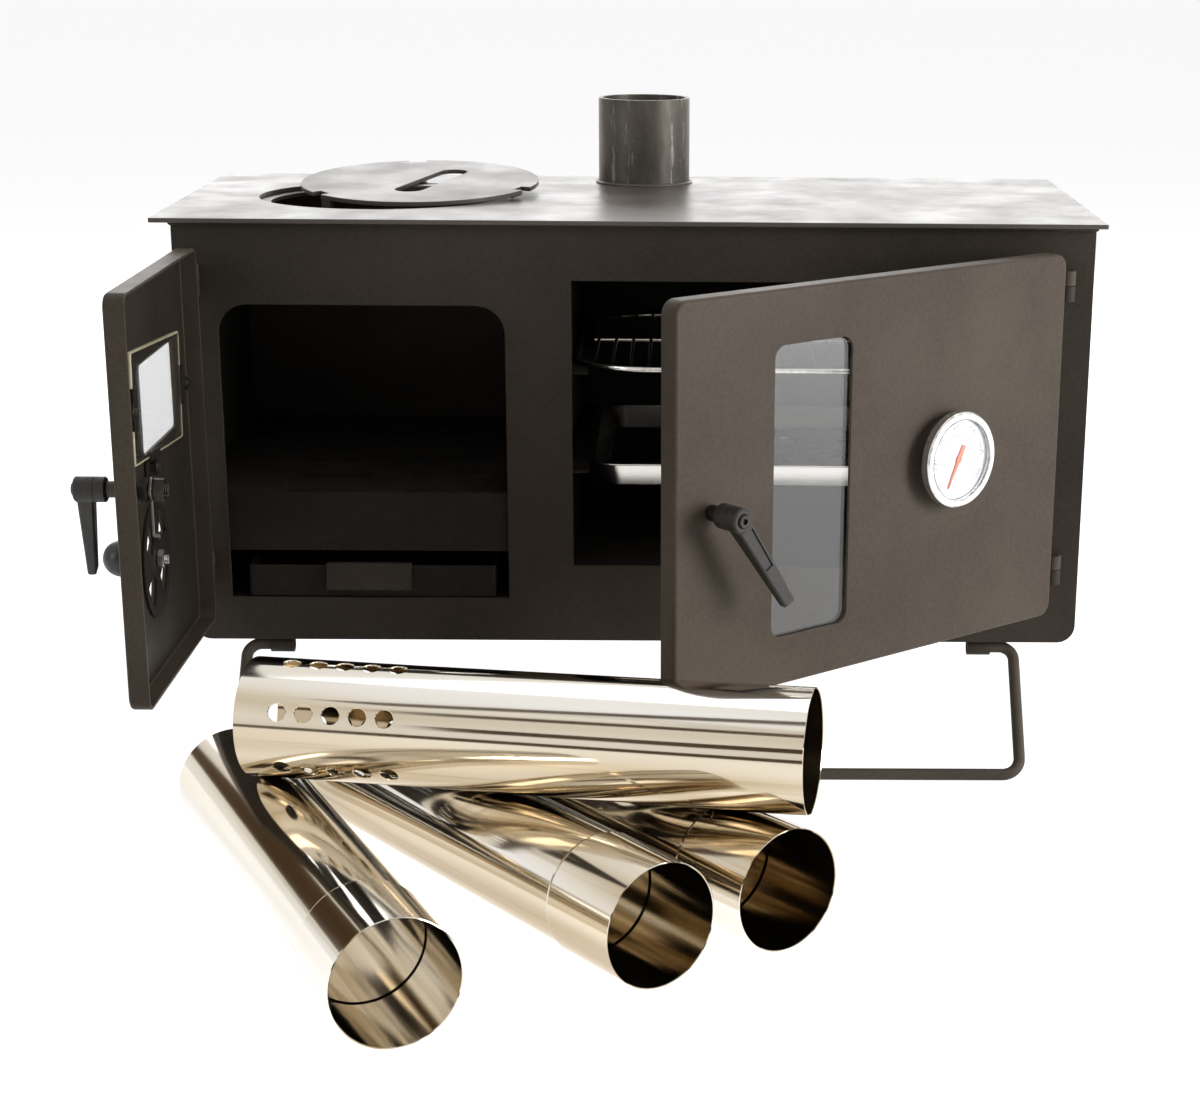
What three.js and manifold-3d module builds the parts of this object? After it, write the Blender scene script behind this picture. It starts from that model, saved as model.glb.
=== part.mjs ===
// Tent stove with a firebox, an oven, folding legs and four loose flue sections.
// Millimetres, +Z up, X to the right of someone facing the doors, Y away from them.
// While modelling, z = 0 is the underside of the body and y = 0 the front of the front plate.
import * as THREE from 'three';
import { mergeVertices } from 'three/addons/utils/BufferGeometryUtils.js';
import Module from 'manifold-3d';

const wasm = await Module();
wasm.setup();

// Clearances shared by all pieces
const gap = 0.3;
const overrun = 4;
const quarter = Math.PI / 2;
const degree = Math.PI / 180;
const samePoint = 1e-6;

// Body sheet
const sheet = 2;
const bodyDepth = 268;
const bodyOffset = 3;
const bodyCorner = 12;
const surfaceHeight = 284.7;
const plateThickness = 3;
const bodyHeight = surfaceHeight - plateThickness - gap;

// Openings in the front plate, from left to right, and what is above and below them
const fireMargin = 27.5;
const fireWidth = 187.6;
const bridgeWidth = 43.9;
const ovenWidth = 297.7;
const ovenMargin = 44.7;
const bodyWidth = fireMargin + fireWidth + bridgeWidth + ovenWidth + ovenMargin;
const bodyLeft = bodyOffset - bodyWidth / 2;
const bodyRight = bodyLeft + bodyWidth;
const fireLeft = bodyLeft + fireMargin;
const fireRight = fireLeft + fireWidth;
const fireBottom = 29.9;
const fireLintel = 53.4;
const fireTop = bodyHeight - fireLintel;
const fireCorner = 19;
const ovenLeft = fireRight + bridgeWidth;
const ovenRight = ovenLeft + ovenWidth;
const ovenBottom = 53;
const ovenLintel = 36.6;
const ovenTop = bodyHeight - ovenLintel;

// Top plate
const plateOverhang = 9.5;
const plateSideOverhang = 9.3;
const plateBackOverhang = 4.7;
const plateWidth = bodyWidth + 2 * plateSideOverhang;
const plateDepth = plateOverhang + bodyDepth + plateBackOverhang;
const plateCorner = 10;

// Hob opening, its ledge and the lid
const hobX = (fireLeft + fireRight) / 2;
const hobRadius = 84;
const hobY = plateDepth / 2 - plateOverhang;
const ledgeInner = 76;
const ledgeOuter = 92;
const ledgeThickness = 3;
const lidClearance = 0.7;
const lidThickness = 3;
const lidRadius = hobRadius - lidClearance;
const lidShiftX = 25.4;
const lidShiftY = 19.6;
const lidPitch = 4.05 * degree;
const lidRoll = -0.4 * degree;
const lidRise = 8.4;
const lidSlotLength = 92;
const lidSlotWidth = 20;
const lidSlotTurn = 70 * degree;
const lidSlotShift = 8;
const lidBarLength = 58;
const lidBarWidth = 9;
const lidBarThickness = 3;
const tabWidth = 12;
const tabThickness = 3;
const tabNotch = 7;
const tabAngles = [97 * degree, 217 * degree, 337 * degree];
const tabLengths = [10.4, 10.4, 3.1];

// Flue collar
const collarInset = 44.2;
const collarSetback = 37;
const collarX = ovenLeft + collarInset;
const collarY = bodyDepth - collarSetback;
const collarRadius = 33.25;
const collarWall = 3;
const collarHeight = 61;

// Firebox, behind its opening
const partitionSetback = 19.6;
const partitionX = fireRight + partitionSetback;
const smokeGap = 43.4;
const partitionTop = bodyHeight - smokeGap;
const grateRise = 72.1;
const grateTop = fireBottom + grateRise;
const grateThickness = 3;
const fenceThickness = 2.5;
const fenceHeight = 40;
const fenceBottom = grateTop - fenceHeight;
const fenceSetback = 1;
const slotRows = 5;
const slotPitch = 49;
const slotFirst = 7.5;
const slotWidth = 5;
const slotLength = 55;
const slotShifts = [-29.6, 51.4];

// Oven liner
const linerMargin = 2;
const linerSheet = 1.5;
const smokeChannel = 18.2;
const linerDepth = bodyDepth - 2 * sheet - gap - linerSheet - smokeChannel;
const railWidth = 12;
const railThickness = 2;
const railSetback = 6;
const latchNotchDrop = 1;

// Oven rack
const rackRise = 133;
const rackHeight = ovenBottom + rackRise;
const rackSide = 3.7;
const rackFront = 5;
const rackBackSpace = 9.3;
const rackBack = sheet + gap + linerDepth - rackBackSpace;
const rackCorner = 52;
const rimWire = 2;
const crossWire = 1.2;
const rackWires = 23;
const braceWire = 1.6;
const rackBraceShare = 0.55;

// Baking tray
const trayRise = 65.5;
const trayRimHeight = ovenBottom + trayRise;
const traySide = 9.1;
const trayFront = 20;
const trayBackSpace = 10.3;
const trayBack = sheet + gap + linerDepth - trayBackSpace;
const trayCorner = 25;
const trayLip = 6;
const traySheet = 1.2;
const trayDrop = 17;
const traySlope = 8;

// Hinges, shared by both doors
const pinSetout = 7;
const pinRadius = 2.5;
const pinClearance = 0.3;
const barrelRadius = 5.5;
const barrelLength = 10;
const barrelLeaf = 3;
const barrelBlock = 6;
const hingeToDoor = 8;

// Door pans
const doorBottom = 25;
const fireDoorDrop = 6;
const doorTopSpace = 14.2;
const doorTop = bodyHeight - doorTopSpace;
const hingeLowInset = 19;
const hingeHighInset = 32.2;
const hingeHeights = [doorBottom + hingeLowInset, doorTop - hingeHighInset];
const fireHingeLap = 6.8;
const fireFreeLap = 11.9;
const ovenHingeLap = 18;
const ovenFreeLap = 17.3;
const firePinX = fireLeft - fireHingeLap - hingeToDoor;
const ovenPinX = ovenRight + ovenHingeLap + hingeToDoor;
const panDepth = 12.8;
const panSheet = 2;
const panCorner = 9;
const panBend = 2.4;
const doorGap = 0.8;
const fireDoorWidth = fireHingeLap + fireWidth + fireFreeLap;
const ovenDoorWidth = ovenHingeLap + ovenWidth + ovenFreeLap;
const fireDoorOpen = 90.5 * degree;
const ovenDoorOpen = 40.6 * degree;

// Windows: places are from the hinge edge and from the underside of the body
const fireWindowMargins = { hinge: 50, free: 62.8 };
const fireWindowShares = { bottom: 0.56152, top: 0.78654 };
const fireWindow = {
  left: fireWindowMargins.hinge,
  right: fireDoorWidth - fireWindowMargins.free,
  bottom: doorBottom + (doorTop - doorBottom) * fireWindowShares.bottom,
  top: doorBottom + (doorTop - doorBottom) * fireWindowShares.top,
  corner: 4,
};
const fireGlassLaps = { across: 41.5, up: 13.5, shiftX: 3.95, shiftY: 0.85 };
const fireGlass = {
  x: (fireWindow.left + fireWindow.right) / 2 + fireGlassLaps.shiftX,
  y: (fireWindow.bottom + fireWindow.top) / 2 + fireGlassLaps.shiftY,
  width: fireWindow.right - fireWindow.left + fireGlassLaps.across,
  height: fireWindow.top - fireWindow.bottom + fireGlassLaps.up,
  turn: 4 * degree,
};
const ovenWindowWidth = 63.3;
const ovenWindowMargins = { free: 77.1, low: 30.5, high: 33.2 };
const ovenWindow = {
  left: ovenDoorWidth - ovenWindowMargins.free - ovenWindowWidth,
  right: ovenDoorWidth - ovenWindowMargins.free,
  bottom: doorBottom + ovenWindowMargins.low,
  top: doorTop - ovenWindowMargins.high,
  corner: 8,
};
const ovenGlassLaps = { across: 22.7, up: 27.5 };
const ovenGlass = {
  x: (ovenWindow.left + ovenWindow.right) / 2,
  y: (ovenWindow.bottom + ovenWindow.top) / 2,
  width: ovenWindowWidth + ovenGlassLaps.across,
  height: ovenWindow.top - ovenWindow.bottom + ovenGlassLaps.up,
};
const glassThickness = 3;
const clipLength = 25;
const clipSheet = 1.5;
const clipFoot = 11;
const clipLip = 9;
const clipStud = 2.5;
const clipNut = 5;
const clipNutHeight = 4;
const clipStudHeight = 6;

// Clamping levers and latches
const fireLatchInset = 22.3;
const fireLatchDrop = 11;
const fireLatch = {
  x: fireDoorWidth - fireLatchInset,
  y: fireWindow.bottom - fireLatchDrop,
  turn: 28 * degree,
};
const ovenLatchInset = 28;
const ovenLatchDrop = 4.1;
const doorMiddle = (doorBottom + doorTop) / 2;
const ovenLatch = { x: ovenDoorWidth - ovenLatchInset, y: doorMiddle - ovenLatchDrop, turn: 33 * degree };
const spindleRadius = 4;
const spindleFit = 0.5;
const spindleNeck = 4.9;
const neckLength = 9;
const spindleInside = 25.5;
const spindleInHub = 9;
const hubRadius = 7.6;
const hubHeight = 19;
const hubChamfer = 1.2;
const screwHead = 4;
const screwHeadHeight = 4;
const screwProud = 1.5;
const screwShank = 1.7;
const screwSocket = 2;
const screwSocketDepth = 2;
const leverLength = 65;
const leverRoot = 11;
const leverTip = 7.5;
const leverRootThickness = 11;
const leverTipThickness = 5.5;
const leverRake = 3;
const leverGroove = 4;
const leverGrooveDepth = 1;
const grooveStartShare = 0.28;
const grooveEndShare = 0.83;
const latchNut = 7.5;
const latchNutHeight = 6.4;
const tongueSetback = 14.1;
const tongueWidth = 8;
const tongueThickness = 2;
const tongueLength = 28;
const tongueFoot = 5;

// Air control
const airInset = 84.3;
const airRiseShare = 0.27663;
const airX = fireDoorWidth - airInset;
const airY = doorBottom + (doorTop - doorBottom) * airRiseShare;
const airRadius = 36.5;
const airSheet = 1.5;
const airSectors = 4;
const airInner = 13;
const airOuter = 30;
const airSectorTurn = 44 * degree;
const airBolt = 3;
const airBoltFit = 0.4;
const airNut = 6;
const airNutHeight = 4;
const airBoltEnd = 9;
const knobRadius = 11.3;
const knobHeight = 30;
const knobNeck = 5;
const knobNeckHeight = 7;

// Thermometer
const dialX = 106.6;
const dialRise = 2.1;
const dialY = doorMiddle + dialRise;
const caseRadius = 30.5;
const caseHeight = 13.2;
const caseBack = 24;
const caseStep = 28.5;
const caseStepHeight = 5.5;
const caseBackHeight = 3.6;
const caseBevel = 1.2;
const ringInner = 26.3;
const wellRadius = 25.6;
const wellDepth = 5;
const dialThickness = 0.6;
const lensThickness = 1.2;
const lensRecess = 0.6;
const needleThickness = 0.6;
const needleHub = 2.4;
const needleTail = 9.5;
const needleTip = 20;
const needleTailWidth = 3.2;
const needleTipWidth = 0.9;
const needleTurn = -26.5 * degree;
const stemRadius = 4;
const stemFit = 0.4;
const stemLength = 16;
const probeRadius = 2.5;
const probeLength = 46;
const stemNut = 8;
const stemNutHeight = 4;

// Ash tray
const ashLeftSpace = 11.7;
const ashRightSpace = 8.9;
const ashWidth = fireWidth - ashLeftSpace - ashRightSpace;
const ashX = fireLeft + ashLeftSpace + ashWidth / 2;
const ashBackSpace = 43;
const ashDepth = bodyDepth - ashBackSpace;
const ashHeight = 22;
const ashSheet = 1.5;
const ashSetback = 1;
const ashHandleWidth = 57.5;
const ashHandleShift = -2;
const ashHandleDrop = 15.5;
const ashHandleReach = 6;
const ashHandleHook = 8;

// Flue sections
const flueLength = 329.8;
const flueRadius = 35;
const flueWall = 0.8;
const flueSocket = 36.2;
const socketLength = 57;
const socketTaper = 4;
const holeRows = 6;
const holesInRow = 5;
const holeRadius = 5.25;
const holePitch = 16;
const holeStart = 26;
const holeTurn = 53.5 * degree;
// Where each lower section crosses the upper one, as shares of both their lengths
const pileX = 108.4;
const pileReach = 315.4;
const upperFlue = { x: pileX, y: -pileReach, heading: 167.8 * degree };
const lowerFlues = [
  { name: 'flue_section_left', upperShare: 0.97939, lowerShare: 0.7284, heading: 114 * degree },
  { name: 'flue_section_middle', upperShare: 0.52612, lowerShare: 0.42927, heading: 127.2 * degree },
  { name: 'flue_section_right', upperShare: 0.12832, lowerShare: 0.1332, heading: 129.2 * degree },
];

// Legs
const legRod = 4;
const legSideInset = 37.7;
const legHalfWidth = bodyWidth / 2 - legSideInset;
const legBend = 12;
const legInset = 9;
const legSpread = 65;
const legDrop = 70.3;
const legEyeRadius = 5.5;
const legEyeFit = 0.3;
const legEyeLength = 16;
const legEyeInset = 4;

// Materials in the colours of the photograph
function paint(color, roughness, metalness) {
  return new THREE.MeshStandardMaterial({ color, roughness, metalness });
}
const blackPaint = paint(0x3f3a35, 0.62, 0.35);
const platePaint = paint(0x5a544d, 0.55, 0.4);
const sootPaint = paint(0x2a2724, 0.8, 0.2);
const rawSteel = paint(0x6f6a64, 0.5, 0.7);
const polishedSteel = paint(0xcfc6b8, 0.16, 1);
const brightWire = paint(0xd8d6d2, 0.22, 1);
const panelGlass = paint(0xb9bcc6, 0.08, 0);
const paneEdge = paint(0xc7bfa4, 0.15, 0);
const darkZinc = paint(0x262422, 0.55, 0.3);
const blackPlastic = paint(0x211f1e, 0.5, 0);
const zincPlate = paint(0xa8a6a2, 0.35, 0.9);
const dialFace = paint(0xd9dadb, 0.4, 0.5);
const needleRed = paint(0xd5562f, 0.5, 0);

// A closed solid from a three.js geometry, facing outwards
function solid(geometry) {
  const plain = geometry.clone();
  plain.deleteAttribute('normal');
  if (plain.getAttribute('uv')) plain.deleteAttribute('uv');
  const merged = mergeVertices(plain);
  const points = merged.getAttribute('position').array;
  const corners = [];
  let volume = 0;
  const a = new THREE.Vector3();
  const b = new THREE.Vector3();
  const c = new THREE.Vector3();
  for (let i = 0; i < merged.index.count; i += 3) {
    const [p, q, r] = [0, 1, 2].map((k) => merged.index.getX(i + k));
    if (p === q || q === r || r === p) continue;
    corners.push(p, q, r);
    a.fromArray(points, p * 3);
    b.fromArray(points, q * 3);
    c.fromArray(points, r * 3);
    volume += a.dot(b.cross(c));
  }
  if (volume < 0) {
    for (let i = 0; i < corners.length; i += 3) {
      [corners[i + 1], corners[i + 2]] = [corners[i + 2], corners[i + 1]];
    }
  }
  return new wasm.Manifold(new wasm.Mesh({
    numProp: 3,
    vertProperties: new Float32Array(points),
    triVerts: new Uint32Array(corners),
  }));
}

function join(...geometries) {
  return geometries.map(solid).reduce((sum, piece) => sum.add(piece));
}

function cut(body, ...geometries) {
  return geometries.map(solid).reduce((rest, piece) => rest.subtract(piece), body);
}

function geometryOf(body) {
  const mesh = body.getMesh();
  const geometry = new THREE.BufferGeometry();
  geometry.setAttribute('position', new THREE.BufferAttribute(mesh.vertProperties, 3));
  geometry.setIndex(new THREE.BufferAttribute(mesh.triVerts, 1));
  return geometry;
}

function named(name, body, material, parent) {
  const mesh = new THREE.Mesh(geometryOf(body), material);
  mesh.name = name;
  mesh.geometry.computeVertexNormals();
  parent.add(mesh);
  return mesh;
}

// A box between two corners
function block(x0, x1, y0, y1, z0, z1) {
  const box = new THREE.BoxGeometry(x1 - x0, y1 - y0, z1 - z0);
  return box.translate((x0 + x1) / 2, (y0 + y1) / 2, (z0 + z1) / 2);
}

// A rectangle whose four corners can be rounded: bottom left, bottom right, top right, top left
function panel(x0, x1, y0, y1, radii = [0, 0, 0, 0], kind = THREE.Shape) {
  const [bl, br, tr, tl] = radii;
  const path = new kind();
  path.moveTo(x0 + bl, y0);
  path.lineTo(x1 - br, y0);
  if (br) path.absarc(x1 - br, y0 + br, br, -quarter, 0);
  path.lineTo(x1, y1 - tr);
  if (tr) path.absarc(x1 - tr, y1 - tr, tr, 0, quarter);
  path.lineTo(x0 + tl, y1);
  if (tl) path.absarc(x0 + tl, y1 - tl, tl, quarter, 2 * quarter);
  path.lineTo(x0, y0 + bl);
  if (bl) path.absarc(x0 + bl, y0 + bl, bl, 2 * quarter, 3 * quarter);
  return path;
}

function even(radius) {
  return [radius, radius, radius, radius];
}

// An outline given thickness along +Z from a start height
function thick(shape, depth, start = 0, curveSegments = 6) {
  const settings = { depth, bevelEnabled: false, curveSegments };
  return new THREE.ExtrudeGeometry(shape, settings).translate(0, 0, start);
}

// An outline drawn in X and Z and given thickness along Y, from y0 to y1
function upright(shape, y0, y1, curveSegments = 6) {
  return thick(shape, y1 - y0, 0, curveSegments).rotateX(quarter).translate(0, y1, 0);
}

// An outline drawn in Y and Z and given length along X, from x0 to x1
const alongX = new THREE.Matrix4().makeBasis(
  new THREE.Vector3(0, 1, 0),
  new THREE.Vector3(0, 0, 1),
  new THREE.Vector3(1, 0, 0),
);
function lengthwise(shape, x0, x1, curveSegments = 6) {
  return thick(shape, x1 - x0, 0, curveSegments).applyMatrix4(alongX).translate(x0, 0, 0);
}

function outline(points) {
  return new THREE.Shape(points.map(([x, y]) => new THREE.Vector2(x, y)));
}

// A turned solid: radius and height pairs about the Z axis
function turned(profile, segments) {
  const points = profile.map(([r, z]) => new THREE.Vector2(r, z));
  return new THREE.LatheGeometry(points, segments).rotateX(quarter);
}

function rod(radius, z0, z1, sides, x = 0, y = 0) {
  const cylinder = new THREE.CylinderGeometry(radius, radius, z1 - z0, sides).rotateX(quarter);
  return cylinder.translate(x, y, (z0 + z1) / 2);
}

// A solid skinned over outlines with equal numbers of points, each at its own height
function loft(sections) {
  const count = sections[0].points.length;
  const positions = sections.flatMap(({ points, z }) => points.flatMap((p) => [p.x, p.y, z]));
  const faces = [];
  for (let s = 0; s + 1 < sections.length; s += 1) {
    for (let i = 0; i < count; i += 1) {
      const a = s * count + i;
      const b = s * count + ((i + 1) % count);
      faces.push(a, b, b + count, a, b + count, a + count);
    }
  }
  const caps = THREE.ShapeUtils.triangulateShape(sections[0].points, []);
  const top = (sections.length - 1) * count;
  for (const [a, b, c] of caps) faces.push(a, c, b, top + a, top + b, top + c);
  const geometry = new THREE.BufferGeometry();
  geometry.setAttribute('position', new THREE.Float32BufferAttribute(positions, 3));
  geometry.setIndex(faces);
  return geometry;
}

function loopOf(shape, curveSegments) {
  const points = shape.getPoints(curveSegments);
  const first = points[0];
  return points.filter((p, i) => i === 0 || (p.distanceTo(points[i - 1]) > samePoint
    && p.distanceTo(first) > samePoint));
}

// A round wire along a closed flat outline
function wireLoop(points, radius, sides, z) {
  const positions = [];
  const faces = [];
  const count = points.length;
  points.forEach((p, i) => {
    const before = points[(i + count - 1) % count];
    const after = points[(i + 1) % count];
    const inDir = p.clone().sub(before).normalize();
    const outDir = after.clone().sub(p).normalize();
    const along = inDir.add(outDir).normalize();
    for (let k = 0; k < sides; k += 1) {
      const turn = (2 * Math.PI * (k + 0.5)) / sides;
      const reach = radius * Math.cos(turn);
      positions.push(p.x + along.y * reach, p.y - along.x * reach, z + radius * Math.sin(turn));
    }
  });
  for (let i = 0; i < count; i += 1) {
    for (let k = 0; k < sides; k += 1) {
      const a = i * sides + k;
      const b = i * sides + ((k + 1) % sides);
      const c = ((i + 1) % count) * sides + k;
      const d = ((i + 1) % count) * sides + ((k + 1) % sides);
      faces.push(a, c, d, a, d, b);
    }
  }
  const geometry = new THREE.BufferGeometry();
  geometry.setAttribute('position', new THREE.Float32BufferAttribute(positions, 3));
  geometry.setIndex(faces);
  return geometry;
}

// A path that hands out exactly the points it was given
class PointPath extends THREE.Curve {
  constructor(points) {
    super();
    this.points = points;
  }

  getPoint(t) {
    const place = t * (this.points.length - 1);
    const index = Math.min(Math.floor(place), this.points.length - 2);
    return this.points[index].clone().lerp(this.points[index + 1], place - index);
  }

  getPointAt(u) {
    return this.getPoint(u);
  }

  getSpacedPoints() {
    return this.points.map((p) => p.clone());
  }

  getTangentAt(u) {
    const index = Math.round(u * (this.points.length - 1));
    const before = this.points[Math.max(index - 1, 0)];
    const after = this.points[Math.min(index + 1, this.points.length - 1)];
    const here = this.points[index];
    const incoming = here.clone().sub(before).normalize();
    const outgoing = after.clone().sub(here).normalize();
    return incoming.add(outgoing).normalize();
  }
}

// A round bar along a bent path, its facets turned by a given angle
function bentBar(points, radius, sides, turn) {
  const section = [];
  for (let k = 0; k < sides; k += 1) {
    const angle = (2 * Math.PI * (k + 0.5)) / sides + turn;
    section.push([radius * Math.cos(angle), radius * Math.sin(angle)]);
  }
  const settings = { steps: points.length - 1, extrudePath: new PointPath(points) };
  return new THREE.ExtrudeGeometry(outline(section), settings);
}

const stove = new THREE.Group();
const interiorFront = sheet + gap;
const interiorBack = bodyDepth - sheet - gap;
const innerLeft = bodyLeft + sheet + gap;

// Front plate with the firebox and oven openings
const bodyOutline = panel(bodyLeft, bodyRight, 0, bodyHeight, [bodyCorner, bodyCorner, 0, 0]);
const frontOutline = bodyOutline.clone();
frontOutline.holes.push(
  panel(fireLeft, fireRight, fireBottom, fireTop, [0, 0, fireCorner, fireCorner], THREE.Path),
  panel(ovenLeft, ovenRight, ovenBottom, ovenTop, even(0), THREE.Path),
);
named('front_plate', join(upright(frontOutline, 0, sheet)), blackPaint, stove);
named('back_plate', join(upright(bodyOutline, bodyDepth - sheet, bodyDepth)), blackPaint, stove);

// One sheet folded round both sides and the bottom
const innerCorner = bodyCorner - sheet;
const wrapOutside = panel(bodyLeft, bodyRight, 0, bodyHeight, [bodyCorner, bodyCorner, 0, 0]);
const wrapInside = panel(
  bodyLeft + sheet,
  bodyRight - sheet,
  sheet,
  bodyHeight + overrun,
  [innerCorner, innerCorner, 0, 0],
);
named('body_wrap', cut(
  join(upright(wrapOutside, interiorFront, interiorBack)),
  upright(wrapInside, interiorFront - overrun, interiorBack + overrun),
), blackPaint, stove);

// Top plate with the hob and flue openings
const plateOutline = panel(
  -plateWidth / 2,
  plateWidth / 2,
  -plateOverhang,
  plateDepth - plateOverhang,
  [0, 0, plateCorner, plateCorner],
);
const hobHole = new THREE.Path().absarc(hobX, hobY, hobRadius, 0, 4 * quarter);
const flueHole = new THREE.Path().absarc(collarX, collarY, collarRadius - collarWall, 0, 4 * quarter);
plateOutline.holes.push(hobHole, flueHole);
const plateUnderside = surfaceHeight - plateThickness;
named('top_plate', join(thick(plateOutline, plateThickness, plateUnderside, 18)), platePaint, stove);

// Ledge that the lid drops on
const ledgeTop = plateUnderside - gap;
const ledge = turned([
  [ledgeInner, ledgeTop - ledgeThickness],
  [ledgeOuter, ledgeTop - ledgeThickness],
  [ledgeOuter, ledgeTop],
  [ledgeInner, ledgeTop],
  [ledgeInner, ledgeTop - ledgeThickness],
], 36).translate(hobX, hobY, 0);
named('hob_ledge', join(ledge), sootPaint, stove);

// Flue collar standing on the plate
const collarFoot = surfaceHeight + gap;
const collar = turned([
  [collarRadius - collarWall, collarFoot],
  [collarRadius, collarFoot],
  [collarRadius, surfaceHeight + collarHeight],
  [collarRadius - collarWall, surfaceHeight + collarHeight],
  [collarRadius - collarWall, collarFoot],
], 32).translate(collarX, collarY, 0);
named('flue_collar', join(collar), rawSteel, stove);

// Firebox floor, partition and grate
named('fire_floor', join(block(
  innerLeft,
  partitionX - gap,
  interiorFront,
  interiorBack,
  fireBottom - sheet,
  fireBottom,
)), sootPaint, stove);
named('fire_partition', join(block(
  partitionX,
  partitionX + sheet,
  interiorFront,
  interiorBack,
  sheet + gap,
  partitionTop,
)), sootPaint, stove);
const fenceFront = sheet + fenceSetback;
const grateProfile = outline([
  [fenceFront, fenceBottom],
  [fenceFront + fenceThickness, fenceBottom],
  [fenceFront + fenceThickness, grateTop - grateThickness],
  [interiorBack, grateTop - grateThickness],
  [interiorBack, grateTop],
  [fenceFront, grateTop],
]);
const grateSlots = [];
for (let row = 0; row < slotRows; row += 1) {
  for (const shift of slotShifts) {
    const centre = hobX + shift;
    const y = slotFirst + row * slotPitch;
    const slot = panel(
      centre - slotLength / 2,
      centre + slotLength / 2,
      y,
      y + slotWidth,
      even(slotWidth / 2),
    );
    grateSlots.push(thick(slot, grateThickness + 2 * overrun, grateTop - grateThickness - overrun, 2));
  }
}
named('fire_grate', cut(
  join(lengthwise(grateProfile, innerLeft, partitionX - gap)),
  ...grateSlots,
), sootPaint, stove);

// Oven liner, open at the front, with two pairs of rails
const linerLeft = ovenLeft - linerMargin;
const linerRight = ovenRight + linerMargin;
const linerBottom = ovenBottom - linerMargin;
const linerTop = ovenTop + linerMargin;
const linerBack = interiorFront + linerDepth;
const railBack = linerBack - railSetback;
const railFront = interiorFront + railSetback;
// Room for the oven latch, which hooks behind the front plate here
const latchNotch = block(
  linerLeft - 2 * linerSheet,
  linerLeft + linerSheet,
  interiorFront - overrun,
  railFront - gap,
  ovenLatch.y - tongueLength - tongueWidth,
  ovenLatch.y - latchNotchDrop,
);
const linerShell = cut(
  join(block(
    linerLeft - linerSheet,
    linerRight + linerSheet,
    interiorFront,
    linerBack + linerSheet,
    linerBottom - linerSheet,
    linerTop + linerSheet,
  )),
  block(linerLeft, linerRight, interiorFront - overrun, linerBack, linerBottom, linerTop),
  latchNotch,
);
const railTops = [rackHeight - rimWire - gap, trayRimHeight - traySheet - gap];
const rails = railTops.flatMap((top) => [
  block(linerLeft - linerSheet / 2, linerLeft + railWidth, railFront, railBack, top - railThickness, top),
  block(linerRight - railWidth, linerRight + linerSheet / 2, railFront, railBack, top - railThickness, top),
]);
named('oven_liner', linerShell.add(join(...rails)), sootPaint, stove);

// Fixed halves of the hinges, each with its pin
function hingeHalf(side, foot) {
  const barrel = turned([
    [0, 0],
    [barrelRadius, 0],
    [barrelRadius, barrelLength],
    [pinRadius, barrelLength],
    [pinRadius, 2 * barrelLength],
    [0, 2 * barrelLength],
  ], 16);
  const weld = block(-barrelBlock / 2, barrelBlock / 2, 0, pinSetout - gap, 0, barrelLength);
  return join(barrel, weld).translate([side < 0 ? firePinX : ovenPinX, -pinSetout, foot]);
}
const hingeNames = ['lower', 'upper'];
hingeHeights.forEach((foot, i) => {
  named(`fire_hinge_${hingeNames[i]}`, hingeHalf(-1, foot), blackPaint, stove);
  named(`oven_hinge_${hingeNames[i]}`, hingeHalf(1, foot), blackPaint, stove);
});

// Doors. Inside a door's face group X runs from the hinge edge, Y is up and Z is outwards,
// with z = 0 at the outer face; side is 1 when the door reaches right from its hinge.
const faceSetout = panDepth + doorGap - pinSetout;
function doorGroup(side, open) {
  const leaf = new THREE.Group();
  leaf.position.set(side > 0 ? firePinX : ovenPinX, -pinSetout, 0);
  leaf.rotation.z = -side * open;
  const face = new THREE.Group();
  face.position.set(side * hingeToDoor, -faceSetout, 0);
  face.rotation.x = quarter;
  leaf.add(face);
  stove.add(leaf);
  return face;
}

function sidePanel(side, x0, x1, y0, y1, corner, kind = THREE.Shape) {
  const [low, high] = side > 0 ? [x0, x1] : [-x1, -x0];
  return panel(low, high, y0, y1, even(corner), kind);
}

function doorPan(side, width, bottom) {
  const outside = sidePanel(side, 0, width, bottom, doorTop, panCorner);
  const formed = new THREE.ExtrudeGeometry(outside, {
    depth: panDepth,
    bevelThickness: panBend,
    bevelSize: panBend,
    bevelOffset: -panBend,
    bevelSegments: 2,
    curveSegments: 4,
  }).translate(0, 0, -panDepth - panBend);
  const waste = sidePanel(side, -overrun, width + overrun, bottom - overrun, doorTop + overrun, 0);
  const hollow = sidePanel(
    side,
    panSheet,
    width - panSheet,
    bottom + panSheet,
    doorTop - panSheet,
    panCorner - panSheet,
  );
  return cut(
    join(formed),
    thick(waste, panDepth, -2 * panDepth),
    thick(hollow, panDepth, -panDepth - panSheet, 4),
  );
}

// Moving halves of the hinges, welded to the pan
function knuckles(side) {
  const pinDepth = faceSetout;
  return hingeHeights.map((foot) => {
    const y0 = foot + barrelLength + gap;
    const y1 = foot + 2 * barrelLength;
    const ring = new THREE.CylinderGeometry(barrelRadius, barrelRadius, y1 - y0, 16);
    ring.translate(-side * hingeToDoor, (y0 + y1) / 2, -pinDepth);
    const reach = hingeToDoor - pinRadius - pinClearance;
    const leaf = block(
      Math.min(-side * reach, side * panSheet / 2),
      Math.max(-side * reach, side * panSheet / 2),
      y0,
      y1,
      -pinDepth - barrelLeaf / 2,
      -pinDepth + barrelLeaf / 2,
    );
    const bore = new THREE.CylinderGeometry(
      pinRadius + pinClearance,
      pinRadius + pinClearance,
      y1 - y0 + 2 * overrun,
      16,
    ).translate(-side * hingeToDoor, (y0 + y1) / 2, -pinDepth);
    return cut(join(ring, leaf), bore);
  });
}

function withKnuckles(body, side) {
  return knuckles(side).reduce((sum, piece) => sum.add(piece), body);
}

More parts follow.
